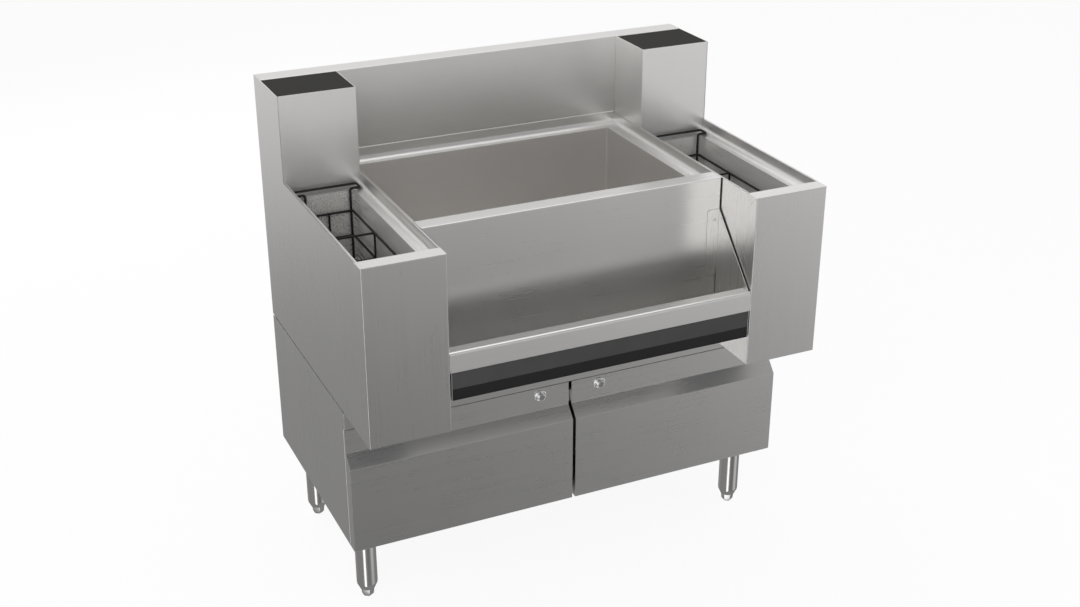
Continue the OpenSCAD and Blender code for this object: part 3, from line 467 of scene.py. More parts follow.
def fold(bm, axis, path, start, end, outward, bends=()):
    """A sheet folded along path, drawn out along an axis. bends holds a radius for each inner point of path."""
    before = set(bm.faces)
    place, along = SECTIONS[axis]
    corners = [bm.verts.new(place(*point) + along * start) for point in path]
    for pair in zip(corners, corners[1:]):
        bm.edges.new(pair)
    for vert, radius in zip(corners[1:-1], bends):
        if radius:
            round_points(bm, [vert], setback(vert, radius), 7)
    draw_out(bm, wires(bm), along * (end - start))
    face_towards(bm, outward, before)


def bar(bm, section, start, end):
    """A closed bar along X, whose section ends at its first point."""
    fold(bm, "x", section, start, end, (0, -1, 0))
    ops.remove_doubles(bm, verts=list(bm.verts), dist=SAME)
    ops.holes_fill(bm, edges=[edge for edge in bm.edges if edge.is_boundary], sides=0)
    ops.recalc_face_normals(bm, faces=list(bm.faces))


def flanged(bm, x, outline, at, reach, bend, segments):
    """A plate across X, with the edge that ends at point number at of its outline folded over by reach."""
    verts = [bm.verts.new((x, *point)) for point in outline]
    bm.faces.new(verts)
    draw_out(bm, [bm.edges.get((verts[at - 1], verts[at]))], (reach, 0, 0))
    round_edges(bm, folds(bm), bend, segments)


def loop(bm, points, corner, segments=5):
    """A closed wire loop through points, its corners rounded."""
    verts = [bm.verts.new(point) for point in points]
    for pair in zip(verts, verts[1:] + verts[:1]):
        bm.edges.new(pair)
    round_points(bm, verts, corner, segments)
    return wires(bm)


def rectangle(lo, hi, z):
    return [(lo.x, lo.y, z), (hi.x, lo.y, z), (hi.x, hi.y, z), (lo.x, hi.y, z)]


def fill(bm, edges, normal=(0, 0, 1)):
    """A flat face between an outer loop and the holes in it."""
    made = ops.triangle_fill(bm, edges=list(set(edges)), use_beauty=True, use_dissolve=False, normal=normal)
    return [item for item in made["geom"] if isinstance(item, bmesh.types.BMFace)]


def pierce(bm, make_hole):
    """Give the largest level face a hole, whose wire edges make_hole returns, and turn it upwards."""
    flat = max((face for face in bm.faces if abs(face.normal.z) > STRAIGHT), key=lambda face: face.calc_area())
    rim = list(flat.edges)
    ops.delete(bm, geom=[flat], context="FACES_ONLY")
    for face in fill(bm, rim + make_hole()):
        face.normal_update()
        if face.normal.z < 0:
            face.normal_flip()


def block(bm, lo, hi):
    lo, hi = Vector(lo), Vector(hi)
    verts = ops.create_cube(bm, size=1.0)["verts"]
    ops.scale(bm, vec=hi - lo, verts=verts)
    ops.translate(bm, vec=(lo + hi) / 2, verts=verts)


def open_box(bm, lo, hi, open_sides, inside=False):
    """A box with some sides left off, its faces turned inwards for a tub."""
    block(bm, lo, hi)
    gone = [face for side in open_sides for face in faces_looking(bm, side)]
    ops.delete(bm, geom=gone, context="FACES")
    if inside:
        ops.reverse_faces(bm, faces=list(bm.faces))


def tub(bm, lo, hi, corner):
    """An open tub seen from inside, with rounded corners."""
    open_box(bm, lo, hi, ((0, 0, 1),), inside=True)
    round_edges(bm, folds(bm), corner, 5)


def stretch_band(bm, start, end):
    """Draw the end of a flat band at the work top out along X."""
    shortest_band = 20 * MM
    ends = rims(bm, lambda at: same(at.x, start) and same(at.z, WORK_TOP), shortest_band)
    draw_out(bm, ends, (end - start, 0, 0))


def revolve(bm, profile, centre, axis="z", steps=48):
    """A round solid: profile is a closed line of (radius, height), or one between two points of the axis."""
    points = [bm.verts.new((radius, 0, height)) for radius, height in profile]
    edges = [bm.edges.new(pair) for pair in zip(points, points[1:])]
    ops.spin(bm, geom=points + edges, cent=(0, 0, 0), axis=(0, 0, 1), angle=2 * math.pi, steps=steps,
             use_merge=True, use_duplicate=False)
    ops.remove_doubles(bm, verts=list(bm.verts), dist=SAME)
    ops.recalc_face_normals(bm, faces=list(bm.faces))
    turn = {"z": Matrix(), "y": Matrix.Rotation(math.radians(90), 4, "X")}[axis]
    ops.transform(bm, matrix=Matrix.Translation(centre) @ turn, verts=list(bm.verts))


def join(bm, other):
    """Add another mesh and free it."""
    carrier = bpy.data.meshes.new("carrier")
    other.to_mesh(carrier)
    other.free()
    bm.from_mesh(carrier)
    bpy.data.meshes.remove(carrier)


def finish(name, bm, look, node="", side="", body="station", slot=None, sheet=0.0, edge=None):
    """Make the object: sheets get their thickness inwards, cut edges a small round, and flats stay flat.

    The side takes the place of {} in the names of the piece, its node and its body.
    """
    if side == "left":
        ops.scale(bm, vec=(-1, 1, 1), verts=list(bm.verts))
        ops.reverse_faces(bm, faces=list(bm.faces))
    align(bm)
    mesh = bpy.data.meshes.new(name.format(side))
    bm.to_mesh(mesh)
    bm.free()
    mesh.shade_smooth()
    mesh.materials.append(FINISHES[look])
    piece = bpy.data.objects.new(name.format(side), mesh)
    bpy.context.scene.collection.objects.link(piece)
    if sheet:
        solid = piece.modifiers.new("Sheet", "SOLIDIFY")
        solid.thickness, solid.offset, solid.use_even_offset = sheet, -1, True
        solid.thickness_clamp = 0
    width = bpy.context.scene.station.sheet.edge if edge is None else edge
    if width:
        bevel = piece.modifiers.new("Edges", "BEVEL")
        bevel.width, bevel.segments, bevel.limit_method = width, 2, "ANGLE"
        bevel.angle_limit, bevel.use_clamp_overlap = math.radians(38), True
        bevel.miter_outer = "MITER_ARC"
    flat = piece.modifiers.new("Flats", "WEIGHTED_NORMAL")
    flat.mode, flat.weight, flat.keep_sharp = "FACE_AREA", 100, True
    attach(piece, body.format(side))
    if node:
        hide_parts(node.format(side))


def wire_piece(name, runs, look, node="", side="", body="station"):
    """Welded wires: each run is (points, closed, diameter, corner radius)."""
    short_of_touching = 0.998
    bm = bmesh.new()
    for points, closed, diameter, corner in runs:
        line = bmesh.new()
        verts = [line.verts.new(point) for point in points]
        for pair in list(zip(verts, verts[1:])) + ([(verts[-1], verts[0])] if closed else []):
            line.edges.new(pair)
        for vert in verts if closed else verts[1:-1]:
            round_points(line, [vert], setback(vert, corner) * short_of_touching, 9)
        curve = bpy.data.curves.new("run", "CURVE")
        curve.dimensions, curve.bevel_depth, curve.bevel_resolution = "3D", diameter / 2, 4
        curve.use_fill_caps = not closed
        spline = curve.splines.new("POLY")
        path = ordered(line, closed)
        spline.points.add(len(path) - 1)
        for point, place in zip(spline.points, path):
            point.co = (*place, 1)
        spline.use_cyclic_u = closed
        line.free()
        holder = bpy.data.objects.new("run", curve)
        bm.from_mesh(holder.to_mesh())
        holder.to_mesh_clear()
        bpy.data.objects.remove(holder)
        bpy.data.curves.remove(curve)
    finish(name, bm, look, node, side, body, edge=0.0)


def ordered(line, closed):
    """The points of a wire line in order along it."""
    line.verts.ensure_lookup_table()
    start = line.verts[0] if closed else next(vert for vert in line.verts if len(vert.link_edges) == 1)
    path, edge, vert = [start.co.copy()], None, start
    while True:
        onward = [e for e in vert.link_edges if e is not edge]
        if not onward:
            break
        edge = onward[0]
        vert = edge.other_vert(vert)
        if vert is start:
            break
        path.append(vert.co.copy())
    return path


class Group:
    """What the operators share."""
    bl_options = {"REGISTER", "UNDO"}

    @classmethod
    def poll(cls, context):
        return hasattr(context.scene, "station")

    def execute(self, context):
        self.make(context.scene.station)
        return {"FINISHED"}


# ---------------------------------- pieces

class STATION_OT_finishes(Group, bpy.types.Operator):
    """Make the finishes and give the carried-over inner parts theirs"""
    bl_idname = "station.finishes"
    bl_label = "Finishes and Inner Parts"

    CARRIED = {
        "zinc": ("cabinet_floor", "cabinet_top", "service_panel", "leg_sockets", "hinge_brackets"),
        # the body floor takes the darkened galvanised: painted shade under the wings
        "zinc_dull": ("body_floor",),
        "inner_x": ("lock_keeper",),
        "foam": ("foam_core",),
        "seal": ("joint_gasket",),
        "charcoal": ("drain_pipe",),
        "bronze": ("hinge_bushes_left", "hinge_bushes_right"),
    }

    def make(self, station):
        make_finishes(station.finish)
        for look, nodes in self.CARRIED.items():
            for node in nodes:
                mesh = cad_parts[node].data
                mesh.materials.clear()
                mesh.materials.append(FINISHES[look])


class STATION_OT_side_wraps(Group, bpy.types.Operator):
    """Outer side, wing front and inner wall of each wing, folded from one sheet"""
    bl_idname = "station.side_wraps"
    bl_label = "Side Wraps"

    def make(self, station):
        s = station.sheet
        inner, outer = WRAP_LOW.x, WRAP_HIGH.x
        band_y = WRAP_LOW.y + s.band_wing
        step, far = band_y + s.gap, band_y + 2 * s.gap  # the sheet steps down under the band between these
        under_sheet = s.thickness + 0.1 * MM
        weld, weld_run = 1.5 * MM, 22.6 * MM
        for side in SIDES:
            bm = bmesh.new()
            fold(bm, "z", [(inner, TOWER_LOW.y - s.gap), (inner, far), (inner, step), (inner, WRAP_LOW.y),
                           (outer, WRAP_LOW.y), (outer, step), (outer, far), (outer, TOWER_LOW.y),
                           (outer, WRAP_HIGH.y)],
                 WRAP_LOW.z, WORK_TOP, (0, -1, 0), (0, 0, s.bend, s.bend, 0, 0, 0))
            under_band = [vert for vert in bm.verts
                          if vert.co.z > WORK_TOP - MM and vert.co.y < band_y + 1.5 * s.gap]
            ops.translate(bm, vec=(0, 0, -under_sheet), verts=under_band)
            tower_foot = rims(bm, lambda at: at.z > WORK_TOP - MM and at.y > TOWER_LOW.y - 10 * SAME
                              and at.x > outer - MM)
            draw_out(bm, tower_foot, (0, 0, WRAP_HIGH.z - WORK_TOP))
            finish("side_wrap_{}_sheet", bm, "steel_z", "side_wrap_{}", side, sheet=s.thickness)
            corner = Vector((inner + 0.4 * MM, WRAP_LOW.y + 2.8 * MM, WORK_TOP - 1.2 * MM))
            bead = [corner, corner + Vector((0, weld_run, -weld_run))]
            wire_piece("mitre_weld_{}", [(bead, False, weld, 0)], "tube", side=side)


class STATION_OT_backsplash(Group, bpy.types.Operator):
    """Backsplash: front face, top ledge and back skin, with the bead along its foot"""
    bl_idname = "station.backsplash"
    bl_label = "Backsplash"

    def make(self, station):
        s = station.sheet
        seam_z = DECK_HIGH.z + s.gap
        bead, proud = 1.8 * MM, 0.15 * MM
        bm = bmesh.new()
        fold(bm, "x", [(SPLASH_LOW.y, seam_z), (SPLASH_LOW.y, SPLASH_HIGH.z), (SPLASH_HIGH.y, SPLASH_HIGH.z),
                       (SPLASH_HIGH.y, SPLASH_LOW.z)],
             SPLASH_LOW.x, SPLASH_HIGH.x, (0, 1, 0), (s.bend, s.bend))
        finish("backsplash_sheet", bm, "splash", "backsplash", sheet=s.thickness, edge=BROAD_EDGE)
        seam = [(way * SPLASH_HIGH.x, SPLASH_LOW.y + proud, seam_z) for way in (-1, 1)]
        wire_piece("backsplash_seam", [(seam, False, bead, 0)], "tube")


class STATION_OT_towers(Group, bpy.types.Operator):
    """Tower fronts and inner sides, with near-black blocks in their tops as painted shade"""
    bl_idname = "station.towers"
    bl_label = "Towers"

    def make(self, station):
        s = station.sheet
        for side in SIDES:
            bm = bmesh.new()
            fold(bm, "z", [(TOWER_HIGH.x, TOWER_LOW.y), (TOWER_LOW.x, TOWER_LOW.y),
                           (TOWER_LOW.x, TOWER_HIGH.y)],
                 TOWER_LOW.z, TOWER_HIGH.z, (0, -1, 0), (s.bend,))
            finish("tower_{}_sheet", bm, "upper_z", "tower_{}", side, sheet=s.thickness)
            bm = bmesh.new()
            # a near-black block fills each tower top: painted shade for the open top
            block(bm, *box("tower_cap_right"))
            finish("tower_cap_{}_moulding", bm, "cap", "tower_cap_{}", side, edge=1.0 * MM)


class STATION_OT_wing_decks(Group, bpy.types.Operator):
    """Recessed well decks with coved sides, the flat front bands and the bottle wells"""
    bl_idname = "station.wing_decks"
    bl_label = "Wing Decks and Wells"

    def make(self, station):
        s = station.sheet
        t = s.thickness
        deck_z = TRAY_LOW.z + t
        band_y = WRAP_LOW.y + s.band_wing
        wall_in = WRAP_LOW.x + t + s.gap + t
        wall_out = WRAP_HIGH.x - t - s.gap - t
        well_lo, well_hi = WELL_LOW + Vector((t, t, t)), WELL_HIGH - Vector((t, t, 0))
        for side in SIDES:
            bm = bmesh.new()
            open_box(bm, (wall_in, band_y, deck_z), (wall_out, TRAY_HIGH.y, WORK_TOP),
                     ((0, 0, 1), (0, -1, 0), (0, 1, 0)), inside=True)
            round_edges(bm, folds(bm), s.cove, 8)
            pierce(bm, lambda: loop(bm, rectangle(well_lo, well_hi, deck_z), s.tub_corner))
            fold(bm, "x", [(band_y, deck_z), (band_y, WORK_TOP), (WRAP_LOW.y, WORK_TOP)], wall_in, wall_out,
                 (0, 0, 1), (s.bend,))
            stretch_band(bm, wall_in, WRAP_LOW.x)
            stretch_band(bm, wall_out, WRAP_HIGH.x)
            finish("wing_deck_{}_sheet", bm, "upper_y", "wing_deck_{}", side, sheet=t, edge=BROAD_EDGE)
            bm = bmesh.new()
            tub(bm, well_lo, Vector((well_hi.x, well_hi.y, WELL_HIGH.z)), s.tub_corner)
            finish("well_liner_{}_tub", bm, "inner_y", "well_liner_{}", side, sheet=t, edge=FINE_EDGE)


class STATION_OT_ice_bin(Group, bpy.types.Operator):
    """Recessed bin deck with coved sides and back, the ice bin's tub and its drain"""
    bl_idname = "station.ice_bin"
    bl_label = "Ice Bin"

    def make(self, station):
        s = station.sheet
        t = s.thickness
        deck_z = DECK_LOW.z + t
        half = DECK_HIGH.x - t
        bin_lo, bin_hi = BIN_LOW + Vector((t, t, t)), BIN_HIGH - Vector((t, t, 0))
        bm = bmesh.new()
        open_box(bm, (-half, DECK_LOW.y, deck_z), (half, SPLASH_LOW.y - 0.05 * MM, WORK_TOP),
                 ((0, 0, 1), (0, -1, 0)), inside=True)
        foot = [edge for edge in folds(bm) if all(vert.co.z < deck_z + MM for vert in edge.verts)]
        round_edges(bm, foot, s.cove, 8)
        pierce(bm, lambda: loop(bm, rectangle(bin_lo, bin_hi, deck_z), s.tub_corner))
        back = rims(bm, lambda at: at.z > WORK_TOP - MM and at.y > SPLASH_LOW.y - MM)
        draw_out(bm, back, (0, 0, DECK_HIGH.z - WORK_TOP))
        finish("bin_deck_sheet", bm, "upper_x", "bin_deck", sheet=t)

        drain = middle("drain_body")
        radius = (DRAIN_HIGH.x - DRAIN_LOW.x) / 2
        bm = bmesh.new()
        tub(bm, bin_lo, Vector((bin_hi.x, bin_hi.y, BIN_HIGH.z)), s.tub_corner)

        def drain_hole():
            ring = ops.create_circle(bm, segments=48, radius=radius * 0.72, cap_ends=False)
            ops.translate(bm, vec=(drain.x, drain.y, bin_lo.z), verts=ring["verts"])
            return wires(bm)

        pierce(bm, drain_hole)
        finish("bin_liner_tub", bm, "inner_x", "bin_liner", sheet=t, edge=FINE_EDGE)
        self.drain(drain, radius, bin_lo.z)

    @staticmethod
    def drain(centre, flange, floor):
        """Flange, bowl and spigot in one turned piece, and the strainer over them."""
        pipe_lo, pipe_hi = box("drain_pipe")
        bowl = flange - 10 * MM
        pipe = (pipe_hi.x - pipe_lo.x) / 2 - 4 * MM
        bore = pipe - 2.7 * MM
        end = DRAIN_LOW.z
        bm = bmesh.new()
        revolve(bm, [(bore, end), (pipe, end), (pipe, floor - 25 * MM), (bowl, floor - 22 * MM),
                     (bowl, floor + 0.05 * MM), (flange, floor + 0.05 * MM), (flange, floor + 0.6 * MM),
                     (flange - 1.5 * MM, floor + 1.5 * MM), (bowl - MM, floor + 1.5 * MM),
                     (bowl - 2 * MM, floor + 0.6 * MM), (bowl - 2 * MM, floor - 20 * MM),
                     (bore, floor - 23 * MM), (bore, end)], (centre.x, centre.y, 0))
        finish("drain_flange", bm, "tube", "drain_body", slot="stainless_inner", edge=0.25 * MM)
        pitch, hole, disc = 6 * MM, 1.6 * MM, 1.5 * MM
        bm = bmesh.new()
        ops.create_circle(bm, segments=48, radius=bowl - 2.3 * MM, cap_ends=False)
        for ring in range(4):
            holes = max(1, 6 * ring)
            for step in range(holes):
                spot = Matrix.Rotation(2 * math.pi * step / holes, 4, "Z") @ Vector((pitch * ring, 0, 0))
                ops.create_circle(bm, segments=12, radius=hole, cap_ends=False,
                                  matrix=Matrix.Translation(spot))
        fill(bm, list(bm.edges))
        ops.translate(bm, vec=(centre.x, centre.y, box("drain_strainer")[1].z), verts=list(bm.verts))
        face_towards(bm, (0, 0, 1))
        finish("drain_strainer_disc", bm, "tube", "drain_strainer", slot="stainless_inner", sheet=disc,
               edge=0.15 * MM)


class STATION_OT_front_panel(Group, bpy.types.Operator):
    """Bin front: face with returned ends, flat band and riser down to the deck"""
    bl_idname = "station.front_panel"
    bl_label = "Bin Front"

    def make(self, station):
        s = station.sheet
        face_half, band_half = GUSSET_HIGH.x + s.gap, FRONT_HIGH.x
        band_y = FRONT_LOW.y + s.band_bin
        returned, shortest_upright = 12 * MM, 200 * MM
        bm = bmesh.new()
        fold(bm, "x", [(FRONT_LOW.y, FRONT_LOW.z), (FRONT_LOW.y, WORK_TOP), (band_y, WORK_TOP),
                       (band_y, DECK_LOW.z)],
             -face_half, face_half, (0, 0, 1), (s.bend, s.bend))
        for way in (-1, 1):
            end = way * face_half
            stretch_band(bm, end, way * band_half)
            upright = rims(bm, lambda at: same(at.x, end) and at.y < FRONT_LOW.y + 10 * SAME, shortest_upright)
            draw_out(bm, upright, (0, returned, 0))
            round_edges(bm, upright, 0.7 * MM, 4)
        finish("front_panel_sheet", bm, "steel_x", "front_panel", sheet=s.thickness)


class STATION_OT_speed_rail(Group, bpy.types.Operator):
    """Speed rail: trough, rolled lip, end gussets, charcoal bumper and black angle"""
    bl_idname = "station.speed_rail"
    bl_label = "Speed Rail"

    def make(self, station):
        s = station.sheet
        t = s.thickness
        trough_back, trough_bend, lip_back = 24 * MM, 5.5 * MM, 12 * MM
        bm = bmesh.new()
        fold(bm, "x", [(TROUGH_HIGH.y, TROUGH_LOW.z + trough_back), (TROUGH_HIGH.y, TROUGH_LOW.z),
                       (TROUGH_LOW.y, TROUGH_LOW.z), (TROUGH_LOW.y, TROUGH_HIGH.z)],
             TROUGH_LOW.x, TROUGH_HIGH.x, (0, 0, -1), (trough_bend, trough_bend))
        finish("rail_trough_sheet", bm, "upper_x", "rail_trough", sheet=t)
        bm = bmesh.new()
        fold(bm, "x", [(LIP_HIGH.y, LIP_HIGH.z - lip_back), (LIP_HIGH.y, LIP_HIGH.z), (LIP_LOW.y, LIP_HIGH.z),
                       (LIP_LOW.y, LIP_LOW.z)],
             LIP_LOW.x, LIP_HIGH.x, (0, 0, 1), (s.bend, s.nose))
        for way in (-1, 1):
            ops.bisect_plane(bm, geom=[*bm.verts, *bm.edges, *bm.faces], plane_no=(1, 0, 0),
                             plane_co=(way * TROUGH_HIGH.x, 0, 0))
        centres = {face: face.calc_center_median() for face in bm.faces}
        behind_nose = [face for face, spot in centres.items()
                       if abs(spot.x) > TROUGH_HIGH.x and spot.y > LIP_LOW.y + s.nose]
        ops.delete(bm, geom=behind_nose, context="FACES")
        finish("rail_lip_sheet", bm, "upper_x", "rail_lip", sheet=t)
        for side in SIDES:
            self.gusset(s, side)
        self.strips()

    @staticmethod
    def gusset(s, side):
        """End plate notched for the lip, with a rounded tab folded along the bin front, and the tab's screw."""
        lo, hi = GUSSET_LOW, GUSSET_HIGH
        lip_z = LIP_HIGH.z
        nose_y, nose_z = lo.y + s.nose + s.gap, lip_z - s.nose
        face_y, face_z = lo.y + s.thickness + s.gap, LIP_LOW.z - s.gap
        plate, bend, tab_corner = 1.2 * MM, 1.8 * MM, 5 * MM
        bm = bmesh.new()
        flanged(bm, hi.x, [(hi.y, hi.z), (nose_y, lip_z), (nose_y, nose_z), (face_y, nose_z), (face_y, face_z),
                           (lo.y, face_z), (lo.y, lo.z), (hi.y, lo.z), (hi.y, lip_z)], 0, lo.x - hi.x, bend, 4)
        corners = [vert for vert in bm.verts if same(vert.co.x, lo.x) and vert.co.z > hi.z - MM]
        round_points(bm, corners, tab_corner, 5)
        face_towards(bm, (1, 0, 0))
        finish("rail_gusset_{}_plate", bm, "steel_z", "rail_gusset_{}", side, sheet=plate, edge=FINE_EDGE)
        screw = Vector((lo.x + 15.6 * MM, hi.y - plate, hi.z - 20 * MM))
        bm = bmesh.new()
        revolve(bm, [(0, 0), (3.4 * MM, 0), (3.2 * MM, 0.7 * MM), (2.3 * MM, 1.4 * MM), (1.2 * MM, 1.7 * MM),
                     (1.0 * MM, 0.9 * MM), (0, 0.8 * MM)], screw, "y", 24)
        finish("rail_screw_{}", bm, "inner_x", side=side, slot="stainless", edge=0.1 * MM)

    @staticmethod
    def strips():
        """The bumper's extrusion, rebated at its foot, and the coated angle under it."""
        lo, hi = box("bumper_strip")
        rebate = 0.4 * MM
        bm = bmesh.new()
        bar(bm, [(hi.y, lo.z), (lo.y + rebate, lo.z), (lo.y + rebate, lo.z + 1.6 * MM), (lo.y, lo.z + 2.0 * MM),
                 (lo.y, hi.z), (hi.y, hi.z), (hi.y, lo.z)], lo.x, hi.x)
        finish("bumper_strip_extrusion", bm, "charcoal", "bumper_strip", edge=0.3 * MM)
        lo, hi = box("lower_strip")
        bm = bmesh.new()
        fold(bm, "x", [(lo.y, hi.z), (lo.y, lo.z), (hi.y, lo.z)], lo.x, hi.x, (0, -1, 0), (2.5 * MM,))
        finish("lower_strip_angle", bm, "strip", "lower_strip", sheet=2.0 * MM)


class STATION_OT_cabinet(Group, bpy.types.Operator):
    """Cabinet sides with their front flanges, back and the rail over the doors"""
    bl_idname = "station.cabinet"
    bl_label = "Cabinet"

    def make(self, station):
        s = station.sheet
        t = s.thickness
        lo, hi = CAB_LOW, CAB_HIGH
        flange_lo, flange_hi = lo.z + t + s.gap, RAIL_LOW.z - s.gap
        for side in SIDES:
            bm = bmesh.new()
            flanged(bm, hi.x, [(lo.y, lo.z), (hi.y, lo.z), (hi.y, hi.z), (lo.y, hi.z), (lo.y, flange_hi),
                               (lo.y, flange_lo)], 5, lo.x - hi.x, s.bend, 5)
            face_towards(bm, (1, 0, 0))
            finish("cabinet_side_{}_sheet", bm, "steel_z", "cabinet_side_{}", side, sheet=t)
        lo, hi = box("cabinet_back")
        bm = bmesh.new()
        fold(bm, "x", [(hi.y, lo.z), (hi.y, hi.z - t - s.gap), (lo.y, hi.z - t - s.gap)], lo.x, hi.x, (0, 1, 0),
             (s.bend,))
        finish("cabinet_back_sheet", bm, "zinc", "cabinet_back", sheet=t)
        bm = bmesh.new()
        lip_y = CAB_LOW.y - s.gap
        open_box(bm, RAIL_LOW, (RAIL_HIGH.x, lip_y, RAIL_HIGH.z), ((0, 1, 0),))
        round_edges(bm, faces_looking(bm, (0, -1, 0))[0].edges, 1.2 * MM, 4)
        fold(bm, "x", [(lip_y, RAIL_LOW.z), (RAIL_HIGH.y, RAIL_LOW.z), (RAIL_HIGH.y, RAIL_HIGH.z - t - s.gap)],
             lo.x, -lo.x, (0, 0, -1), (s.bend,))
        finish("top_rail_channel", bm, "steel_x", "top_rail", sheet=t)


class STATION_OT_doors(Group, bpy.types.Operator):
    """Door pans with the bevel under the lock strip, and their back sheets"""
    bl_idname = "station.doors"
    bl_label = "Doors"

    def make(self, station):
        lo, hi = DOOR_LOW, DOOR_HIGH
        strip_y = RAIL_LOW.y
        panel_top, bevel_top = lo.z + 177.5 * MM, lo.z + 201.5 * MM
        hinge_round, flat_angle = 3 * MM, 0.5
        for side in SIDES:
            bm = bmesh.new()
            bar(bm, [(hi.y, lo.z), (lo.y, lo.z), (lo.y, panel_top), (strip_y, bevel_top), (strip_y, hi.z),
                     (hi.y, hi.z), (hi.y, lo.z)], lo.x, hi.x)
            hinge = [edge for edge in bm.edges
                     if all(vert.co.x > hi.x - SAME and vert.co.y > hi.y - SAME for vert in edge.verts)]
            round_edges(bm, hinge, hinge_round, 5)
            ops.delete(bm, geom=faces_looking(bm, (0, 1, 0)), context="FACES")
            front = [edge for edge in folds(bm) if min(vert.co.y for vert in edge.verts) < hi.y - 4 * MM
                     and edge.calc_face_angle(0) > flat_angle]
            round_edges(bm, front, BROAD_EDGE, 4)
            finish("door_skin_{}_pan", bm, "steel_x", "door_skin_{}", side, "door_{}", sheet=station.sheet.door)
            bm = bmesh.new()
            block(bm, *box("door_liner_right"))
            finish("door_liner_{}_sheet", bm, "inner_x", "door_liner_{}", side, "door_{}")


class STATION_OT_locks(Group, bpy.types.Operator):
    """Chrome cam locks: escutcheon, barrel and nut on the door, plug and cam that turn"""
    bl_idname = "station.locks"
    bl_label = "Locks"

    def make(self, station):
        centre = middle("lock_body_right")
        strip_y = RAIL_LOW.y
        ring = (LOCK_HIGH.x - LOCK_LOW.x) / 2
        lo, hi = box("lock_plug_right")
        plug = (hi.x - lo.x) / 2
        bore, barrel = plug + 0.05 * MM, 7.9 * MM
        thread, nut_r = barrel + 0.02 * MM, barrel + 3.5 * MM
        out, back = strip_y - LOCK_LOW.y, LOCK_HIGH.y - strip_y
        for side in SIDES:
            bm = bmesh.new()
            revolve(bm, [(bore, -back), (barrel, -back), (barrel, 0.02 * MM), (ring, 0.02 * MM),
                         (ring, 0.9 * MM), (ring - 1.0 * MM, 1.9 * MM), (ring - 2.4 * MM, 2.0 * MM),
                         (barrel + 0.9 * MM, 1.3 * MM), (barrel + 0.2 * MM, 1.6 * MM), (barrel, 2.2 * MM),
                         (barrel, out - 1.2 * MM), (barrel - 0.5 * MM, out - 0.4 * MM),
                         (barrel - 1.3 * MM, out), (plug + 0.4 * MM, out), (bore, out - 0.4 * MM),
                         (bore, -back)], (centre.x, strip_y, centre.z), "y", 64)
            nut = bmesh.new()
            revolve(nut, [(thread, 0), (nut_r, 0), (nut_r, 2.4 * MM), (thread, 2.7 * MM), (thread, 0)],
                    (centre.x, DOOR_HIGH.y + 3 * MM, centre.z), "y", 6)
            join(bm, nut)
            finish("lock_body_{}_barrel", bm, "chrome", "lock_body_{}", side, "door_{}", edge=0.0)
            self.plug(side, centre, lo, hi, plug)

    @staticmethod
    def plug(side, centre, lo, hi, radius):
        """The plug with its key slot, and the cam at its inner end."""
        keyway, keyway_depth = Vector((0.8, 3.25)) * MM, 3 * MM
        bm = bmesh.new()
        ops.create_circle(bm, segments=48, radius=radius, cap_ends=False)
        rim = list(bm.edges)
        verts = [bm.verts.new(point) for point in rectangle(-keyway, keyway, 0)]
        slot = [bm.edges.new(pair) for pair in zip(verts, verts[1:] + verts[:1])]
        fill(bm, rim + slot)
        for edges, depth in ((slot, keyway_depth), (rim, hi.y - lo.y)):
            ops.contextual_create(bm, geom=draw_out(bm, edges, (0, 0, -depth)))
        ops.recalc_face_normals(bm, faces=list(bm.faces))
        turn = Matrix.Translation((centre.x, lo.y, centre.z)) @ Matrix.Rotation(math.radians(90), 4, "X")
        ops.transform(bm, matrix=turn, verts=list(bm.verts))
        cam = bmesh.new()
        front, back = hi.y - 4.5 * MM, hi.y - 2 * MM
        outline = [(centre.x - radius, front, centre.z + radius), (centre.x + radius, front, centre.z + radius),
                   (centre.x + radius, front, lo.z), (centre.x - radius, front, lo.z)]
        plate = fill(cam, loop(cam, outline, radius * 0.999, 10), (0, 1, 0))
        deep = ops.extrude_face_region(cam, geom=plate)
        ops.translate(cam, vec=(0, back - front, 0), verts=verts_of(deep))
        ops.recalc_face_normals(cam, faces=list(cam.faces))
        join(bm, cam)
        finish("lock_plug_{}_key", bm, "chrome", "lock_plug_{}", side, "lock_{}", edge=0.12 * MM)


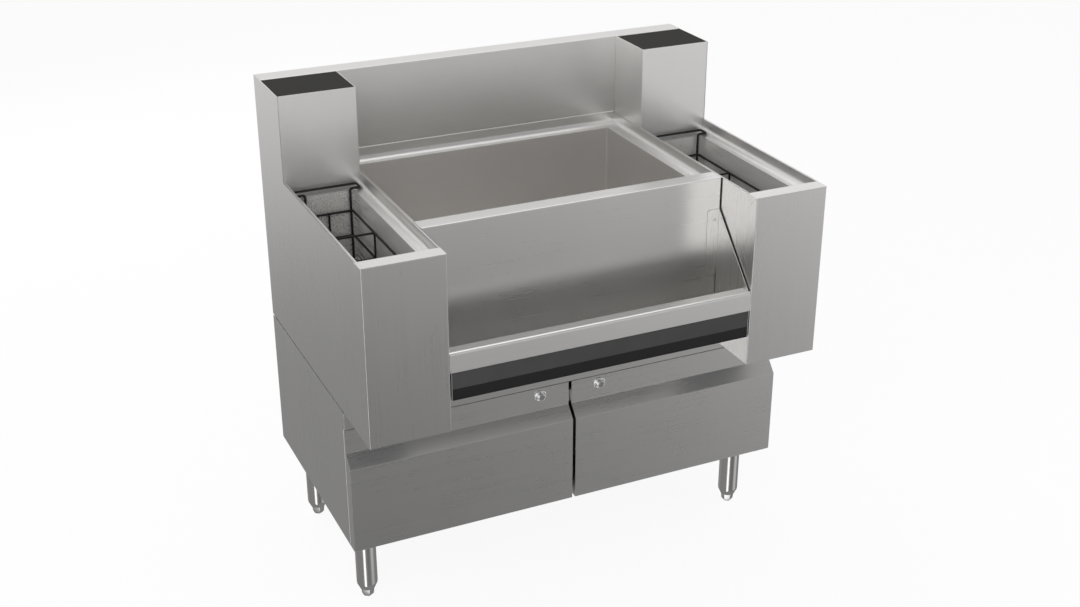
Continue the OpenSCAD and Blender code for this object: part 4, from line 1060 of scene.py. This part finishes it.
class STATION_OT_legs(Group, bpy.types.Operator):
    """Tubular legs with tapered ends and hexagonal levelling feet"""
    bl_idname = "station.legs"
    bl_label = "Legs and Feet"

    def make(self, station):
        lo, hi = box("leg_tubes")
        radius = hi.x - middle("foot_front_right").x
        end_r, stem, wall = 15 * MM, 8 * MM, 1.6 * MM
        bore, plug_top, taper = stem + 0.05 * MM, lo.z + 34 * MM, lo.z + 13.8 * MM
        bm = bmesh.new()
        for corner in ("front_left", "front_right", "back_left", "back_right"):
            node = f"foot_{corner}"
            centre = middle(node)
            leg = bmesh.new()
            revolve(leg, [(bore, lo.z), (end_r - 1.2 * MM, lo.z), (end_r, lo.z + 0.8 * MM),
                          (radius - 2.2 * MM, taper - 5.2 * MM), (radius - 0.7 * MM, taper - 2.4 * MM),
                          (radius, taper + 1.5 * MM), (radius, hi.z), (radius - wall, hi.z),
                          (radius - wall, plug_top), (bore, plug_top), (bore, lo.z)],
                    (centre.x, centre.y, 0), "z", 64)
            join(bm, leg)
            self.foot(node, centre, lo.z - 0.3 * MM, stem)
        finish("leg_tubes_steel", bm, "tube", "leg_tubes", edge=0.0)

    @staticmethod
    def foot(node, centre, top, stem):
        """A hexagon that narrows to its pad, and the stem that runs up into the leg."""
        lo, hi = box("foot_front_right")
        hexagon, pad = (hi.x - lo.x) / 2, 4 * MM
        bm = bmesh.new()
        body = ops.create_cone(bm, cap_ends=True, cap_tris=False, segments=6, radius1=hexagon * 0.88,
                               radius2=hexagon, depth=top - pad)["verts"]
        ops.translate(bm, vec=(0, 0, pad + (top - pad) / 2), verts=body)
        bottom = faces_looking(bm, (0, 0, -1))
        point = verts_of(ops.extrude_face_region(bm, geom=bottom))
        ops.delete(bm, geom=bottom, context="FACES")
        ops.translate(bm, vec=(0, 0, -pad), verts=point)
        ops.scale(bm, vec=(0.72, 0.72, 1), verts=point)
        ops.recalc_face_normals(bm, faces=list(bm.faces))
        rod = ops.create_cone(bm, cap_ends=True, segments=32, radius1=stem, radius2=stem,
                              depth=hi.z - top + MM)["verts"]
        ops.translate(bm, vec=(0, 0, (hi.z + top - MM) / 2), verts=rod)
        ops.translate(bm, vec=(centre.x, centre.y, 0), verts=list(bm.verts))
        finish(f"{node}_hexagon", bm, "tube", node, body=node, edge=0.7 * MM)


class STATION_OT_racks(Group, bpy.types.Operator):
    """Black wire bottle racks that hang on the tower foot and stand in the wells"""
    bl_idname = "station.racks"
    bl_label = "Bottle Racks"

    def make(self, station):
        rack = station.rack
        hang, ring, cross = rack.hanger_wire, rack.ring_wire, rack.cross_wire
        clear_floor, clear_back = 0.3 * MM, 6 * MM
        mid = (RACK_LOW.x + RACK_HIGH.x) / 2
        half = (RACK_HIGH.x - RACK_LOW.x) / 2 - rack.reach - hang / 2
        reach, drop = half + rack.reach, half - rack.drop_in
        floor = RACK_LOW.z - clear_floor
        low, middle_z, top = RACK_LOW.z + ring / 2, floor + rack.middle, floor + rack.top
        front = RACK_LOW.y + ring / 2
        rod_y, rod_z = RACK_HIGH.y - hang / 2, RACK_HIGH.z - hang / 2
        back = WELL_HIGH.y - station.sheet.thickness - clear_back
        pitch = (back - front) / rack.cells

        def across(y, z):
            return [(mid - half, y, z), (mid + half, y, z)], False, cross, 0

        def upright(x, y):
            return [(x, y, low), (x, y, top)], False, cross, 0

        runs = [([(mid - half, front, z), (mid + half, front, z), (mid + half, back, z), (mid - half, back, z)],
                 True, ring, rack.corner) for z in (low, middle_z, top)]
        runs.append(([(mid - drop, back, low), (mid - drop, back, rod_z), (mid - reach, back, rod_z),
                      (mid - reach, rod_y, rod_z), (mid + reach, rod_y, rod_z), (mid + reach, back, rod_z),
                      (mid + drop, back, rod_z), (mid + drop, back, low)], False, hang, hang))
        for cell in range(1, rack.cells):
            y = front + cell * pitch
            runs += [across(y, z) for z in (middle_z, top)]
            runs += [upright(mid + way * half, y) for way in (-1, 1)]
        runs += [upright(mid, y) for y in (front, back)]
        runs += [across(front + step * pitch / 2, low) for step in range(1, 2 * rack.cells)]
        runs.append(([(mid, front, low), (mid, back, low)], False, ring - 0.2 * MM, 0))
        for side in SIDES:
            wire_piece("bottle_rack_{}_wires", runs, "wire", "bottle_rack_{}", side, "rack_{}")


# ---------------------------------- stage

class STATION_OT_stage(Group, bpy.types.Operator):
    """Camera at the photograph's angle, pale floor and soft studio light"""
    bl_idname = "station.stage"
    bl_label = "Stage"

    SOFTBOXES = (  # name, place, target, width and height, power
        ("key_softbox", (-2.2, -2.6, 2.9), (0, 0, 0.6), (1.8, 1.8), 40),
        ("left_softbox", (-2.2, -3.0, 0.8), (0.2, 0, 0.6), (1.5, 1.3), 30),
        ("right_softbox", (2.8, -2.4, 0.8), (0.2, 0, 0.5), (1.6, 1.5), 32),
        ("back_softbox", (-0.9, 3.2, 1.9), (0, 0, 0.7), (3.0, 1.6), 36),
    )

    def make(self, station):
        scene = bpy.context.scene
        scene.view_settings.view_transform = "Standard"
        self.camera(scene, station.stage)
        self.floor(scene, station.stage)
        self.world(scene, station.stage)
        for softbox in self.SOFTBOXES:
            self.softbox(scene, *softbox)

    @staticmethod
    def camera(scene, s):
        lens = bpy.data.cameras.new("camera")
        lens.lens, lens.sensor_width, lens.clip_end = s.focal, 36, 100
        camera = bpy.data.objects.new("camera", lens)
        camera.location = s.camera
        camera.rotation_euler = (math.pi / 2 + s.pitch, 0, -s.yaw)
        scene.collection.objects.link(camera)
        scene.camera = camera

    @staticmethod
    def floor(scene, s):
        """Shadowed white for the camera, grey for matt surfaces, and clear for what steel mirrors."""
        bm = bmesh.new()
        ops.create_grid(bm, x_segments=1, y_segments=1, size=30)
        mesh = bpy.data.meshes.new("floor")
        bm.to_mesh(mesh)
        bm.free()
        floor = bpy.data.objects.new("floor", mesh)
        scene.collection.objects.link(floor)
        f = material("floor")
        glossy, seen = f.ray("Glossy"), f.ray("Camera")
        shadowed = f.node("ShaderNodeBsdfDiffuse", inputs={"Color": (0.8, 0.8, 0.8)})
        clear = f.node("ShaderNodeBsdfTransparent")
        white = f.node("ShaderNodeEmission", inputs={"Color": (1, 1, 1), "Strength": 1.0})
        ground = f.node("ShaderNodeMixShader", inputs={0: glossy, 1: shadowed, 2: clear})
        f.output(f.node("ShaderNodeMixShader", inputs={0: s.floor_white * seen, 1: ground, 2: white}))
        mesh.materials.append(f.owner)

    @staticmethod
    def world(scene, s):
        """White for the camera, plain light for matt surfaces, and the studio's panels for steel to mirror."""
        f = Finish(bpy.data.worlds.new("studio"))
        seen, glossy, through = f.ray("Camera"), f.ray("Glossy"), f.ray("Transmission")
        way = f.node("ShaderNodeTexCoord", output="Object")
        x, y, z = (f.node("ShaderNodeSeparateXYZ", inputs={0: way}, output=axis) for axis in range(3))
        stops = [((sine + 1) / 2, level) for sine, level in s.heights()]
        room = f.node("ShaderNodeValToRGB", {"stops": stops}, {0: (z + 1.0) * 0.5})
        room = f.node("ShaderNodeSeparateColor", inputs={0: room})
        degrees = 180.0 / math.pi
        azimuth, height = degrees * f.math("ARCTAN2", x, 0.0 - y), degrees * f.math("ARCSINE", z)
        for place, half_wide, level_at, half_high, soft, gain in s.panels():
            room = room + gain * f.soft(f.turned(azimuth, place), half_wide, soft) * f.soft(
                height - float(level_at), half_high, soft)
        level = s.ambient + seen * (1.0 - s.ambient) + (glossy + through) * (room - s.ambient)
        f.output(f.node("ShaderNodeBackground", inputs={"Color": (1, 1, 1), "Strength": level}))
        scene.world = f.owner

    @staticmethod
    def softbox(scene, name, place, target, size, power):
        lamp = bpy.data.lights.new(name, "AREA")
        lamp.shape, lamp.size, lamp.size_y, lamp.energy = "RECTANGLE", *size, power
        holder = bpy.data.objects.new(name, lamp)
        holder.location = place
        holder.rotation_euler = (Vector(target) - Vector(place)).to_track_quat("-Z", "Y").to_euler()
        holder.visible_camera = holder.visible_glossy = False
        scene.collection.objects.link(holder)


class STATION_PT_panel(bpy.types.Panel):
    """Buttons for the station's groups of pieces"""
    bl_label = "Bar Station"
    bl_idname = "STATION_PT_panel"
    bl_space_type = "VIEW_3D"
    bl_region_type = "UI"
    bl_category = "Bar Station"

    def draw(self, context):
        for step in STEPS:
            self.layout.operator(step.bl_idname)


STEPS = (
    STATION_OT_finishes, STATION_OT_side_wraps, STATION_OT_backsplash, STATION_OT_towers, STATION_OT_wing_decks,
    STATION_OT_ice_bin, STATION_OT_front_panel, STATION_OT_speed_rail, STATION_OT_cabinet, STATION_OT_doors,
    STATION_OT_locks, STATION_OT_legs, STATION_OT_racks, STATION_OT_stage,
)
CLASSES = (SheetSettings, RackSettings, FinishSettings, StageSettings, StationSettings, *STEPS,
           STATION_PT_panel)


def register():
    for cls in CLASSES:
        bpy.utils.register_class(cls)
    bpy.types.Scene.station = PointerProperty(type=StationSettings)


def unregister():
    del bpy.types.Scene.station
    for cls in reversed(CLASSES):
        bpy.utils.unregister_class(cls)


def main():
    register()
    for step in STEPS:
        group, name = step.bl_idname.split(".")
        getattr(getattr(bpy.ops, group), name)()


if __name__ == "__main__":
    main()
